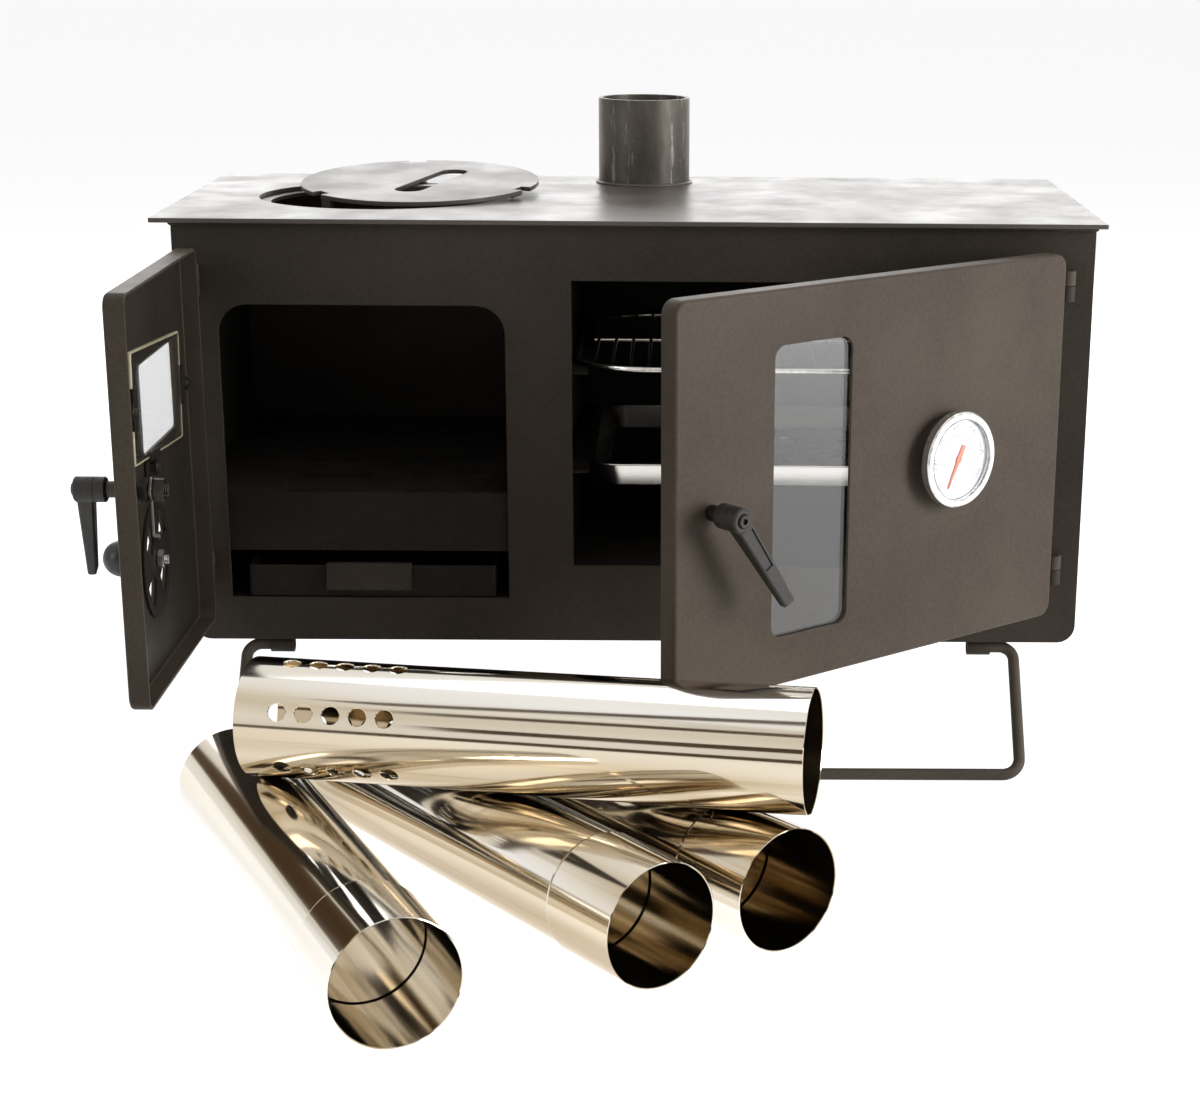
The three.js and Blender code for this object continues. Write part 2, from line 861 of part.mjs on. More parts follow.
// A sheet clip with its stud and nut, reaching from its foot over the edge of a pane along +X
function glassClip(x, y, turn) {
  const paneTop = -panSheet - gap - glassThickness;
  const seat = -panSheet - gap;
  const lipStart = -clipLip;
  const profile = outline([
    [-clipFoot, seat],
    [-gap, seat],
    [-gap, paneTop - gap],
    [-lipStart, paneTop - gap],
    [-lipStart, paneTop - gap - clipSheet],
    [-gap - clipSheet, paneTop - gap - clipSheet],
    [-gap - clipSheet, seat - clipSheet],
    [-clipFoot, seat - clipSheet],
  ]);
  const strip = thick(profile, clipLength, -clipLength / 2).rotateX(quarter);
  const studX = -(clipFoot + gap + clipSheet) / 2;
  const nut = rod(clipNut, seat - clipSheet - clipNutHeight, seat - clipSheet / 2, 6, studX, 0);
  const stud = rod(clipStud, seat - clipSheet - clipStudHeight, seat - clipSheet / 2, 8, studX, 0);
  return solid(strip).add(join(nut, stud))
    .rotate([0, 0, turn / degree])
    .translate([x, y, 0]);
}

function pane(side, glass) {
  const shape = panel(-glass.width / 2, glass.width / 2, -glass.height / 2, glass.height / 2);
  return join(thick(shape, glassThickness, -panSheet - gap - glassThickness))
    .rotate([0, 0, (side * (glass.turn || 0)) / degree])
    .translate([side * glass.x, glass.y, 0]);
}

// Lever, spindle, screw and tongue of a latch. They turn together about the spindle.
function latch(prefix, side, place, face) {
  const axis = new THREE.Group();
  axis.position.set(side * place.x, place.y, 0);
  face.add(axis);
  const hubFoot = neckLength + gap;
  const hubTop = hubFoot + hubHeight;
  const boreTop = hubFoot + spindleInHub;
  const seatHeight = hubTop + screwProud - screwHeadHeight;
  const hub = turned([
    [spindleRadius + gap, hubFoot],
    [hubRadius - hubChamfer, hubFoot],
    [hubRadius, hubFoot + hubChamfer],
    [hubRadius, hubTop - hubChamfer],
    [hubRadius - hubChamfer, hubTop],
    [screwHead + gap, hubTop],
    [screwHead + gap, seatHeight - gap],
    [screwShank + gap, seatHeight - gap],
    [screwShank + gap, boreTop + gap],
    [spindleRadius + gap, boreTop + gap],
    [spindleRadius + gap, hubFoot],
  ], 20);
  const armStart = spindleRadius + gap + hubChamfer;
  const armProfile = outline([
    [-armStart, hubTop - hubChamfer],
    [-leverLength + hubChamfer, hubTop + leverRake],
    [-leverLength, hubTop + leverRake - hubChamfer],
    [-leverLength, hubTop + leverRake - leverTipThickness + hubChamfer],
    [-leverLength + hubChamfer, hubTop + leverRake - leverTipThickness],
    [-armStart, hubTop - leverRootThickness],
  ]);
  const armSide = lengthwise(armProfile, -leverRoot, leverRoot);
  const armPlan = thick(outline([
    [-leverRoot / 2, -armStart + hubChamfer],
    [-leverTip / 2, -leverLength + hubChamfer],
    [-leverTip / 2 + hubChamfer, -leverLength - gap],
    [leverTip / 2 - hubChamfer, -leverLength - gap],
    [leverTip / 2, -leverLength + hubChamfer],
    [leverRoot / 2, -armStart + hubChamfer],
  ]), 2 * hubTop, 0);
  const arm = solid(armSide).intersect(solid(armPlan));
  const grooveStart = -leverLength * grooveStartShare;
  const grooveEnd = -leverLength * grooveEndShare;
  const rakeSlope = (leverRake + hubChamfer) / (leverLength - armStart);
  const grooveFloor = (y) => hubTop - hubChamfer - (y + armStart) * rakeSlope - leverGrooveDepth;
  const groove = lengthwise(outline([
    [grooveStart, grooveFloor(grooveStart)],
    [grooveStart, grooveFloor(grooveStart) + overrun],
    [grooveEnd, grooveFloor(grooveEnd) + overrun],
    [grooveEnd, grooveFloor(grooveEnd)],
  ]), -leverGroove / 2, leverGroove / 2);
  const swing = (-side * place.turn) / degree;
  named(`${prefix}_lever`, solid(hub).add(arm).subtract(solid(groove)).rotate([0, 0, swing]), darkZinc, axis);

  const screw = turned([
    [0, boreTop + gap],
    [screwShank, boreTop + gap],
    [screwShank, seatHeight],
    [screwHead, seatHeight],
    [screwHead, hubTop + screwProud],
    [0, hubTop + screwProud],
  ], 16);
  const socket = rod(
    screwSocket,
    hubTop + screwProud - screwSocketDepth,
    hubTop + screwProud + overrun,
    6,
  );
  named(`${prefix}_lever_screw`, cut(join(screw), socket), zincPlate, axis);

  const insideFace = -panSheet;
  const tongueTop = insideFace - tongueSetback;
  const spindle = turned([
    [0, insideFace - spindleInside],
    [spindleRadius, insideFace - spindleInside],
    [spindleRadius, gap],
    [spindleNeck, gap],
    [spindleNeck, neckLength],
    [spindleRadius, neckLength],
    [spindleRadius, boreTop],
    [0, boreTop],
  ], 16);
  const upperNut = rod(latchNut, tongueTop + gap, tongueTop + gap + latchNutHeight, 6);
  named(`${prefix}_spindle`, join(spindle, upperNut), zincPlate, axis);

  const tongueShape = outline([
    [tongueWidth / 2, tongueTop],
    [-tongueLength, tongueTop],
    [-tongueLength, tongueTop - tongueFoot],
    [-tongueLength + tongueThickness, tongueTop - tongueFoot],
    [-tongueLength + tongueThickness, tongueTop - tongueThickness],
    [tongueWidth / 2, tongueTop - tongueThickness],
  ]);
  const strip = solid(lengthwise(tongueShape, -tongueWidth / 2, tongueWidth / 2));
  const eye = rod(spindleRadius + latchNutHeight / 2, tongueTop - tongueThickness, tongueTop, 16);
  const bore = rod(spindleRadius + gap, tongueTop - overrun, tongueTop + overrun, 16);
  named(`${prefix}_latch_tongue`, cut(strip.add(solid(eye)), bore), zincPlate, axis);

  const lowerTop = tongueTop - tongueThickness - gap;
  const lowerNut = cut(
    join(rod(latchNut, lowerTop - latchNutHeight, lowerTop, 6)),
    rod(spindleRadius + gap, lowerTop - latchNutHeight - overrun, lowerTop + overrun, 16),
  );
  named(`${prefix}_latch_nut`, lowerNut, zincPlate, axis);
  return axis;
}

function spindleHole(side, place) {
  return rod(spindleRadius + spindleFit, -panDepth, overrun, 16, side * place.x, place.y);
}

// Firebox door
const fireFace = doorGroup(1, fireDoorOpen);
function airSector(index, radiusIn, radiusOut) {
  const middle = (4 * quarter * index) / airSectors + quarter / 2;
  const from = middle - airSectorTurn / 2;
  const to = middle + airSectorTurn / 2;
  const sector = new THREE.Shape();
  sector.absarc(0, 0, radiusOut, from, to);
  sector.absarc(0, 0, radiusIn, to, from, true);
  return sector;
}
const sectorIndexes = Array.from({ length: airSectors }, (_, i) => i);
const airHoles = sectorIndexes.map((i) => (
  thick(airSector(i, airInner, airOuter), panDepth, -panDepth / 2, 3).translate(airX, airY, 0)
));
const fireOpening = thick(
  panel(fireWindow.left, fireWindow.right, fireWindow.bottom, fireWindow.top, even(fireWindow.corner)),
  panDepth,
  -panDepth / 2,
  4,
);
const firePan = cut(
  withKnuckles(doorPan(1, fireDoorWidth, doorBottom - fireDoorDrop), 1),
  fireOpening,
  spindleHole(1, fireLatch),
  rod(airBolt + airBoltFit, -panDepth, overrun, 16, airX, airY),
  ...airHoles,
);
named('fire_door_pan', firePan, blackPaint, fireFace);
named('fire_door_glass', pane(1, fireGlass), paneEdge, fireFace);
const lowClipShare = 0.3;
const cosTurn = Math.cos(fireGlass.turn);
const sinTurn = Math.sin(fireGlass.turn);
function onGlass(alongShare, upShare) {
  const along = (alongShare * fireGlass.width) / 2;
  const up = (upShare * fireGlass.height) / 2;
  return [fireGlass.x + along * cosTurn - up * sinTurn, fireGlass.y + along * sinTurn + up * cosTurn];
}
named('fire_glass_clip_hinge', glassClip(...onGlass(-1, 0), fireGlass.turn), sootPaint, fireFace);
named('fire_glass_clip_free', glassClip(...onGlass(1, 0), 2 * quarter + fireGlass.turn), sootPaint, fireFace);
const lowClip = glassClip(...onGlass(lowClipShare, -1), quarter + fireGlass.turn);
named('fire_glass_clip_low', lowClip, sootPaint, fireFace);
latch('fire', 1, fireLatch, fireFace);

// Air control: a slotted disc inside, turned by a knob outside
const airAxis = new THREE.Group();
airAxis.position.set(airX, airY, 0);
fireFace.add(airAxis);
const discTop = -panSheet - gap;
const disc = cut(
  join(rod(airRadius, discTop - airSheet, discTop, 32)),
  rod(airBolt + gap, discTop - overrun, discTop + overrun, 16),
  ...sectorIndexes.map((i) => thick(airSector(i, airInner, airOuter), 2 * overrun, discTop - overrun, 3)),
);
named('air_disc', disc, sootPaint, airAxis);
const knobFoot = gap;
const knobDome = [];
const domeSteps = 4;
const domeHeight = knobHeight - knobNeckHeight - knobRadius / 2;
for (let i = 0; i <= domeSteps; i += 1) {
  const turn = (quarter * i) / domeSteps;
  knobDome.push([knobRadius * Math.cos(turn), knobHeight - domeHeight * (1 - Math.sin(turn))]);
}
const knob = turned([
  [airBolt + gap, knobFoot],
  [knobNeck + hubChamfer, knobFoot],
  [knobNeck, knobNeckHeight],
  ...knobDome,
  [0, knobNeckHeight + 2 * knobNeck],
  [airBolt + gap, knobNeckHeight + 2 * knobNeck],
  [airBolt + gap, knobFoot],
], 20);
named('air_knob', join(knob), blackPlastic, airAxis);
const boltEnd = -panSheet - airBoltEnd;
const airNutTop = discTop - airSheet - gap;
const airBoltBody = join(
  rod(airBolt, boltEnd, knobNeckHeight + 2 * knobNeck - gap, 16),
  rod(airNut, airNutTop - airNutHeight, airNutTop, 6),
);
named('air_bolt', airBoltBody, zincPlate, airAxis);

// Oven door
const ovenFace = doorGroup(-1, ovenDoorOpen);
const ovenOpening = thick(
  sidePanel(-1, ovenWindow.left, ovenWindow.right, ovenWindow.bottom, ovenWindow.top, ovenWindow.corner),
  panDepth,
  -panDepth / 2,
  5,
);
const ovenPan = cut(
  withKnuckles(doorPan(-1, ovenDoorWidth, doorBottom), -1),
  ovenOpening,
  spindleHole(-1, ovenLatch),
  rod(stemRadius + stemFit, -panDepth, overrun, 16, -dialX, dialY),
);
named('oven_door_pan', ovenPan, blackPaint, ovenFace);
named('oven_door_glass', pane(-1, ovenGlass), panelGlass, ovenFace);
const ovenClipShare = 0.6;
const ovenClipUp = (ovenClipShare * ovenGlass.height) / 2;
const glassSides = [ovenGlass.x - ovenGlass.width / 2, ovenGlass.x + ovenGlass.width / 2];
const ovenClips = [
  ['oven_glass_clip_hinge_low', glassSides[0], -ovenClipUp, 2 * quarter],
  ['oven_glass_clip_hinge_high', glassSides[0], ovenClipUp, 2 * quarter],
  ['oven_glass_clip_free_low', glassSides[1], -ovenClipUp, 0],
  ['oven_glass_clip_free_high', glassSides[1], ovenClipUp, 0],
];
for (const [name, x, up, turn] of ovenClips) {
  named(name, glassClip(-x, ovenGlass.y + up, turn), sootPaint, ovenFace);
}
latch('oven', -1, ovenLatch, ovenFace);

// Thermometer through the oven door
const dialAxis = new THREE.Group();
dialAxis.position.set(-dialX, dialY, 0);
ovenFace.add(dialAxis);
const wellFloor = caseHeight - wellDepth;
const caseBody = turned([
  [0, gap],
  [caseBack, gap],
  [caseBack, caseBackHeight],
  [caseStep, caseStepHeight],
  [caseRadius, caseStepHeight + caseBevel],
  [caseRadius, caseHeight - caseBevel],
  [caseRadius - caseBevel, caseHeight],
  [ringInner, caseHeight],
  [wellRadius, caseHeight - lensRecess],
  [wellRadius, wellFloor],
  [0, wellFloor],
], 32);
const stem = rod(stemRadius, -panSheet - stemLength, caseBackHeight, 16);
const probe = rod(probeRadius, -panSheet - probeLength, 0, 12);
named('thermometer_case', join(caseBody, stem, probe), brightWire, dialAxis);
const dialTop = wellFloor + gap + dialThickness;
named('thermometer_dial', join(rod(wellRadius - gap, wellFloor + gap, dialTop, 28)), dialFace, dialAxis);
const lensTop = caseHeight - lensRecess;
named('thermometer_lens', join(
  rod(wellRadius - gap, lensTop - lensThickness, lensTop, 28),
), panelGlass, dialAxis);
const nutTop = -panSheet - gap;
named('thermometer_nut', cut(
  join(rod(stemNut, nutTop - stemNutHeight, nutTop, 6)),
  rod(stemRadius + gap, nutTop - 2 * stemNutHeight, nutTop + overrun, 16),
), zincPlate, dialAxis);
const needleShape = outline([
  [-needleTailWidth / 2, 0],
  [-needleTipWidth / 2, -needleTip],
  [needleTipWidth / 2, -needleTip],
  [needleTailWidth / 2, 0],
  [needleTailWidth / 2, needleTail],
  [-needleTailWidth / 2, needleTail],
]);
const needleFoot = dialTop + gap;
named('thermometer_needle', join(
  thick(needleShape, needleThickness, needleFoot),
  rod(needleHub, needleFoot, needleFoot + needleThickness, 12),
).rotate([0, 0, needleTurn / degree]), needleRed, dialAxis);

// Ash tray and its folded handle
const ashFoot = fireBottom + gap;
const ashTop = ashFoot + ashHeight;
const ashLeft = ashX - ashWidth / 2;
const ashRight = ashX + ashWidth / 2;
const ashBack = ashSetback + ashDepth;
named('ash_tray', cut(
  join(block(ashLeft, ashRight, ashSetback, ashBack, ashFoot, ashTop)),
  block(
    ashLeft + ashSheet,
    ashRight - ashSheet,
    ashSetback + ashSheet,
    ashBack - ashSheet,
    ashFoot + ashSheet,
    ashTop + overrun,
  ),
), sootPaint, stove);
const handleFront = ashSetback - gap;
const handleInside = ashSetback + ashSheet + gap;
const handleTop = ashTop + gap;
const handleLow = ashTop - ashHandleDrop;
const handleOutline = outline([
  [handleFront, handleTop],
  [handleInside, handleTop],
  [handleInside, handleTop - ashHandleHook],
  [handleInside + ashSheet, handleTop - ashHandleHook],
  [handleInside + ashSheet, handleTop + ashSheet],
  [handleFront - ashSheet, handleTop + ashSheet],
  [handleFront - ashSheet - ashHandleReach, handleLow],
  [handleFront - ashHandleReach, handleLow],
]);
const handleX = ashX + ashHandleShift;
named('ash_tray_handle', join(
  lengthwise(handleOutline, handleX - ashHandleWidth / 2, handleX + ashHandleWidth / 2),
), blackPaint, stove);

// Hob lid, askew on the opening, with a lifting bar across its slot
const lidGroup = new THREE.Group();
lidGroup.position.set(hobX + lidShiftX, hobY + lidShiftY, surfaceHeight + lidRise);
lidGroup.rotation.set(lidPitch, lidRoll, 0);
stove.add(lidGroup);
const slotOutline = panel(
  -lidSlotLength / 2,
  lidSlotLength / 2,
  -lidSlotWidth / 2,
  lidSlotWidth / 2,
  even(lidSlotWidth / 2),
);
const lidSlot = thick(slotOutline, lidThickness + 2 * overrun, -lidThickness - overrun, 5)
  .rotateZ(lidSlotTurn)
  .translate(lidSlotShift, 0, 0);
const tabRadius = lidRadius - tabNotch;
const lidNotches = tabAngles.map((angle) => (
  block(tabRadius, lidRadius + overrun, -tabWidth / 2, tabWidth / 2, -lidThickness - overrun, overrun)
    .rotateZ(angle)
));
const lidTabs = tabAngles.map((angle, i) => (
  block(
    tabRadius - tabThickness,
    tabRadius,
    -tabWidth / 2,
    tabWidth / 2,
    -lidThickness - tabLengths[i],
    -lidThickness / 2,
  ).rotateZ(angle)
));
const lidDisc = cut(join(rod(lidRadius, -lidThickness, 0, 44)), lidSlot, ...lidNotches);
named('hob_lid', lidDisc.add(join(...lidTabs)), platePaint, lidGroup);
named('hob_lid_bar', join(block(
  lidSlotShift - lidBarLength / 2,
  lidSlotShift + lidBarLength / 2,
  -lidBarWidth / 2,
  lidBarWidth / 2,
  -lidThickness - gap - lidBarThickness,
  -lidThickness - gap,
)), platePaint, lidGroup);

// Oven rack: a rim wire, cross wires and a brace below them
const rackLeft = linerLeft + rackSide;
const rackRight = linerRight - rackSide;
const rackRim = loopOf(panel(rackLeft, rackRight, rackFront, rackBack, even(rackCorner)), 5);
const rackPieces = [wireLoop(rackRim, rimWire, 6, rackHeight)];
const rackSpan = rackRight - rackLeft;
for (let i = 1; i <= rackWires; i += 1) {
  const x = rackLeft + (rackSpan * i) / (rackWires + 1);
  const fromEdge = Math.min(x - rackLeft, rackRight - x);
  const inCorner = Math.max(rackCorner - fromEdge, 0);
  const bow = rackCorner - Math.sqrt(rackCorner ** 2 - inCorner ** 2);
  const wire = new THREE.CylinderGeometry(crossWire, crossWire, rackBack - rackFront - 2 * bow, 5);
  rackPieces.push(wire.translate(x, (rackFront + rackBack) / 2, rackHeight));
}
const braceY = rackFront + (rackBack - rackFront) * rackBraceShare;
const braceLength = linerRight - linerLeft - 2 * (railWidth + gap);
const brace = new THREE.CylinderGeometry(braceWire, braceWire, braceLength, 5).rotateZ(quarter);
rackPieces.push(brace.translate((rackLeft + rackRight) / 2, braceY, rackHeight - crossWire));
named('oven_rack', join(...rackPieces), brightWire, stove);

// Baking tray: sloped walls, rounded corners and a flat lip
const bakeLeft = linerLeft + traySide;
const bakeRight = linerRight - traySide;
function traySection(inset, z) {
  const shape = panel(
    bakeLeft + inset,
    bakeRight - inset,
    trayFront + inset,
    trayBack - inset,
    even(trayCorner - inset),
  );
  return { points: loopOf(shape, 6), z };
}
const trayTop = trayRimHeight;
const trayFloor = trayTop - trayDrop;
const trayOutside = loft([
  traySection(trayLip + traySlope - traySheet, trayFloor),
  traySection(trayLip - traySheet, trayTop),
]);
const trayInside = loft([
  traySection(trayLip + traySlope, trayFloor + traySheet),
  traySection(trayLip, trayTop + traySheet),
]);
const lipShape = panel(bakeLeft, bakeRight, trayFront, trayBack, even(trayCorner));
const lip = thick(lipShape, traySheet, trayTop - traySheet, 6);
named('baking_tray', join(trayOutside, lip).subtract(solid(trayInside)), brightWire, stove);

// Legs: a bent rod at the front and at the back, its ends in eyes under the body
function legPath(slope) {
  const reach = Math.hypot(legSpread, legDrop);
  const toward = new THREE.Vector3(0, (slope * legSpread) / reach, -legDrop / reach);
  const place = (x, along) => toward.clone().multiplyScalar(along).setX(x);
  const endX = legHalfWidth - legEyeInset - legEyeLength;
  const corner = (side, along, quarterStart) => {
    const arc = [];
    const steps = 3;
    for (let i = 0; i <= steps; i += 1) {
      const turn = quarterStart + (quarter * i) / steps;
      arc.push(place(
        side * (legHalfWidth - legBend) + legBend * Math.cos(turn),
        along + legBend * Math.sin(turn),
      ));
    }
    return arc;
  };
  return [
    place(endX, 0),
    ...corner(1, legBend, -quarter),
    ...corner(1, reach - legBend, 0),
    ...corner(-1, reach - legBend, quarter),
    ...corner(-1, legBend, 2 * quarter),
    place(-endX, 0),
  ];
}
const legPivotZ = -legEyeRadius - gap;
const legFacets = 12;
for (const [name, slope, y] of [['front_leg', -1, legInset], ['rear_leg', 1, bodyDepth - legInset]]) {
  const leg = join(bentBar(legPath(slope), legRod, legFacets, Math.atan2(legSpread, legDrop) * slope));
  named(name, leg.translate([0, y, legPivotZ]), blackPaint, stove);
}
function legEye(side, y) {
  const ring = turned([
    [legRod + legEyeFit, -legEyeLength / 2],
    [legEyeRadius, -legEyeLength / 2],
    [legEyeRadius, legEyeLength / 2],
    [legRod + legEyeFit, legEyeLength / 2],
    [legRod + legEyeFit, -legEyeLength / 2],
  ], 16).rotateY(quarter);
  const x = side * (legHalfWidth - legBend - legEyeInset - legEyeLength / 2);
  return join(ring).translate([x, y, legPivotZ]);
}
for (const [name, side, y] of [
  ['leg_eye_front_left', -1, legInset],
  ['leg_eye_front_right', 1, legInset],
  ['leg_eye_rear_left', -1, bodyDepth - legInset],
  ['leg_eye_rear_right', 1, bodyDepth - legInset],
]) {
  named(name, legEye(side, y), blackPaint, stove);
}

// Flue sections: a plain tube with a widened socket at one end
const floorHeight = legPivotZ - legDrop - legRod;
function flueBody() {
  return solid(turned([
    [flueSocket - flueWall, 0],
    [flueSocket, 0],
    [flueSocket, socketLength],
    [flueRadius, socketLength + socketTaper],
    [flueRadius, flueLength],
    [flueRadius - flueWall, flueLength],
    [flueRadius - flueWall, socketLength + socketTaper],
    [flueSocket - flueWall, socketLength],
    [flueSocket - flueWall, 0],
  ], 30));
}
function layFlue(name, body, x, y, z, heading, dip) {
  const section = named(name, body, polishedSteel, stove);
  section.rotation.order = 'ZYX';
  section.rotation.set(0, quarter + dip, heading);
  section.position.set(x, y, z);
  return section;
}
for (const { name, upperShare, lowerShare, heading } of lowerFlues) {
  const over = flueLength * upperShare;
  const along = flueLength * lowerShare;
  const x = upperFlue.x + over * Math.cos(upperFlue.heading) - along * Math.cos(heading);
  const y = upperFlue.y + over * Math.sin(upperFlue.heading) - along * Math.sin(heading);
  layFlue(name, flueBody(), x, y, floorHeight + flueSocket, heading, 0);
}
const holes = [];
for (let row = 0; row < holeRows; row += 1) {
  for (let i = 0; i < holesInRow; i += 1) {
    const drill = new THREE.CylinderGeometry(holeRadius, holeRadius, 2 * overrun, 8).rotateZ(quarter);
    drill.translate(flueRadius, 0, flueLength - holeStart - i * holePitch);
    holes.push(drill.rotateZ(holeTurn + (4 * quarter * row) / holeRows));
  }
}
const pileDip = Math.atan2(2 * (flueSocket - flueRadius), flueLength - socketLength - holeStart);
const pileHeight = floorHeight + 3 * flueSocket + gap;
const pileRise = socketLength * Math.sin(pileDip);
layFlue(
  'flue_section_perforated',
  cut(flueBody(), ...holes),
  upperFlue.x,
  upperFlue.y,
  pileHeight + pileRise,
  upperFlue.heading,
  pileDip,
);

// The part stands on its origin: centre of its footprint, lowest point at z = 0
const part = new THREE.Group();
part.add(stove);
part.updateMatrixWorld(true);
const extent = new THREE.Box3().setFromObject(stove, true);
const middle = extent.getCenter(new THREE.Vector3());
stove.position.set(-middle.x, -middle.y, -extent.min.z);
part.updateMatrixWorld(true);

export default part;
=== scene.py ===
from math import asin, atan2, cos, degrees, hypot, pi, radians, sin, sqrt, tan

import bmesh
import bpy
from mathutils import Matrix, Vector
from mathutils.geometry import tessellate_polygon


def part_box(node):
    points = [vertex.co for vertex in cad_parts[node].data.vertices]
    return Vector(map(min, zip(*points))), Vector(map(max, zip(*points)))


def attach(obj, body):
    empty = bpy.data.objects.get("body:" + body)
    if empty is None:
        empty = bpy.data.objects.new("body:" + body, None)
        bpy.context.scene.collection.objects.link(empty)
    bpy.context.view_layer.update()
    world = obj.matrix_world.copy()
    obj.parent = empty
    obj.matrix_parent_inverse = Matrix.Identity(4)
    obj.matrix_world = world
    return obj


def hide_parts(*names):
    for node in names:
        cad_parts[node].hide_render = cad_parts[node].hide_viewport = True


scene = bpy.context.scene
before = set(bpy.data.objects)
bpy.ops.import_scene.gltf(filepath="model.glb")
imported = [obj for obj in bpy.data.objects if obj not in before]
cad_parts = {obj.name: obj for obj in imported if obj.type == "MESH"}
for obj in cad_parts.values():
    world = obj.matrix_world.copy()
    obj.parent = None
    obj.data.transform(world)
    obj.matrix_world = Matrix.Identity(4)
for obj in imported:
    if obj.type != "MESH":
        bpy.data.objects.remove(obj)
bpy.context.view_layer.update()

# Model millimetres become row metres. The shift is where the frame has the top plate.
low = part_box("top_plate")[0]
SHIFT = Vector((low.x * 1000 + 310, low.y * 1000 + 9.5, low.z * 1000 - 281.7))
ROW = Matrix.Scale(0.001, 4) @ Matrix.Translation(SHIFT)


def move(x, y, z):
    return Matrix.Translation((x, y, z))


def spin(angle, axis):
    return Matrix.Rotation(radians(angle), 4, axis)


# Hinge pins, and how far each door stands open
PIN_X, PIN_Y = 285, -7
FIRE_OPEN, OVEN_OPEN = 90.5, 40.6
UPRIGHT = ROW @ spin(90, "X")
FIRE = ROW @ move(-PIN_X, PIN_Y, 0) @ spin(-FIRE_OPEN, "Z") @ move(8, -6.6, 0) @ spin(90, "X")
OVEN = ROW @ move(PIN_X, PIN_Y, 0) @ spin(OVEN_OPEN, "Z") @ move(-8, -6.6, 0) @ spin(90, "X")
ACROSS = Matrix(((0, 0, 1, 0), (1, 0, 0, 0), (0, 1, 0, 0), (0, 0, 0, 1)))
LID = ROW @ move(-151, 151.2, 293.1) @ spin(4.05, "X") @ spin(-0.4, "Y")


# Centres on the top plate, and on the doors as measured from their hinges
HOB = -176.4, 131.6
COLLAR = 5.5, 231
AIR_CENTRE = 122, 92
DIAL_CENTRE = -106.6, 148.2


# Outlines
def rounded(x0, x1, y0, y1, corners, steps=8):
    """Counter-clockwise rounded rectangle; corners from lower left."""
    if not isinstance(corners, (list, tuple)):
        corners = [corners] * 4
    places = [(x0, y0, 1, 1, 180), (x1, y0, -1, 1, 270), (x1, y1, -1, -1, 0), (x0, y1, 1, -1, 90)]
    loop = []
    for (x, y, sx, sy, start), r in zip(places, corners):
        if r <= 0:
            loop.append(Vector((x, y)))
            continue
        for k in range(steps + 1):
            a = radians(start + 90 * k / steps)
            loop.append(Vector((x + sx * r + r * cos(a), y + sy * r + r * sin(a))))
    return loop


def circle(x, y, r, count=64):
    return [
        Vector((x + r * cos(2 * pi * k / count), y + r * sin(2 * pi * k / count)))
        for k in range(count)
    ]


def polar(r, a):
    return r * cos(a), r * sin(a)


def offset(loop, d):
    """The outline moved to its left by d."""
    out = []
    for i, p in enumerate(loop):
        e = (p - loop[i - 1]).normalized()
        f = (loop[(i + 1) % len(loop)] - p).normalized()
        n = Vector((-e.y, e.x)) + Vector((-f.y, f.x))
        out.append(p + n * (d / max(0.2, 1 + e.dot(f))))
    return out


def soften(points, radius, steps=4, closed=True):
    """The same line with its corners rounded, in two or three dimensions."""
    out = []
    count = len(points)
    for i in range(count):
        p = Vector(points[i])
        r = radius[i] if isinstance(radius, (list, tuple)) else radius
        a = Vector(points[i - 1]) - p
        b = Vector(points[(i + 1) % count]) - p
        ends = not closed and i in (0, count - 1)
        if ends or r <= 0 or a.length < 1e-6 or b.length < 1e-6 or a.angle(b) > pi - 0.02:
            out.append(p)
            continue
        angle = a.angle(b)
        reach = r / tan(angle / 2)
        limit = 0.49 * min(a.length, b.length)
        if reach > limit:
            r *= limit / reach
            reach = limit
        a.normalize()
        b.normalize()
        centre = p + (a + b).normalized() * (r / sin(angle / 2))
        s = p + a * reach - centre
        e = p + b * reach - centre
        sweep = s.angle(e)
        for k in range(steps + 1):
            t = k / steps
            weight = s * sin((1 - t) * sweep) + e * sin(t * sweep)
            out.append(centre + weight / sin(sweep))
    return out


# Parts of meshes: points, faces, and a material number for each face
def bridge(a, b, closed=True):
    if len(a) == 1 and len(b) == 1:
        return []
    count = max(len(a), len(b))
    faces = []
    for k in range(count if closed else count - 1):
        n = (k + 1) % count
        if len(a) == 1:
            faces.append((a[0], b[n], b[k]))
        elif len(b) == 1:
            faces.append((a[k], a[n], b[0]))
        else:
            faces.append((a[k], a[n], b[n], b[k]))
    return faces


def strips(rows):
    return [face for a, b in zip(rows, rows[1:]) for face in bridge(a, b)]


def put(points, ring):
    """Adds a ring of points and gives their numbers."""
    start = len(points)
    points += [tuple(p) for p in ring]
    return list(range(start, len(points)))


def level(loop, z):
    return [(p.x, p.y, z) for p in loop]


def flat_fill(ends, z):
    """Triangles over an outline and its holes, whose points already stand in the mesh."""
    flat = [[Vector(p) for p in level(loop, z)] for loop, _ in ends]
    index = [i for _, ids in ends for i in ids]
    return [tuple(index[i] for i in tri) for tri in tessellate_polygon(flat)]


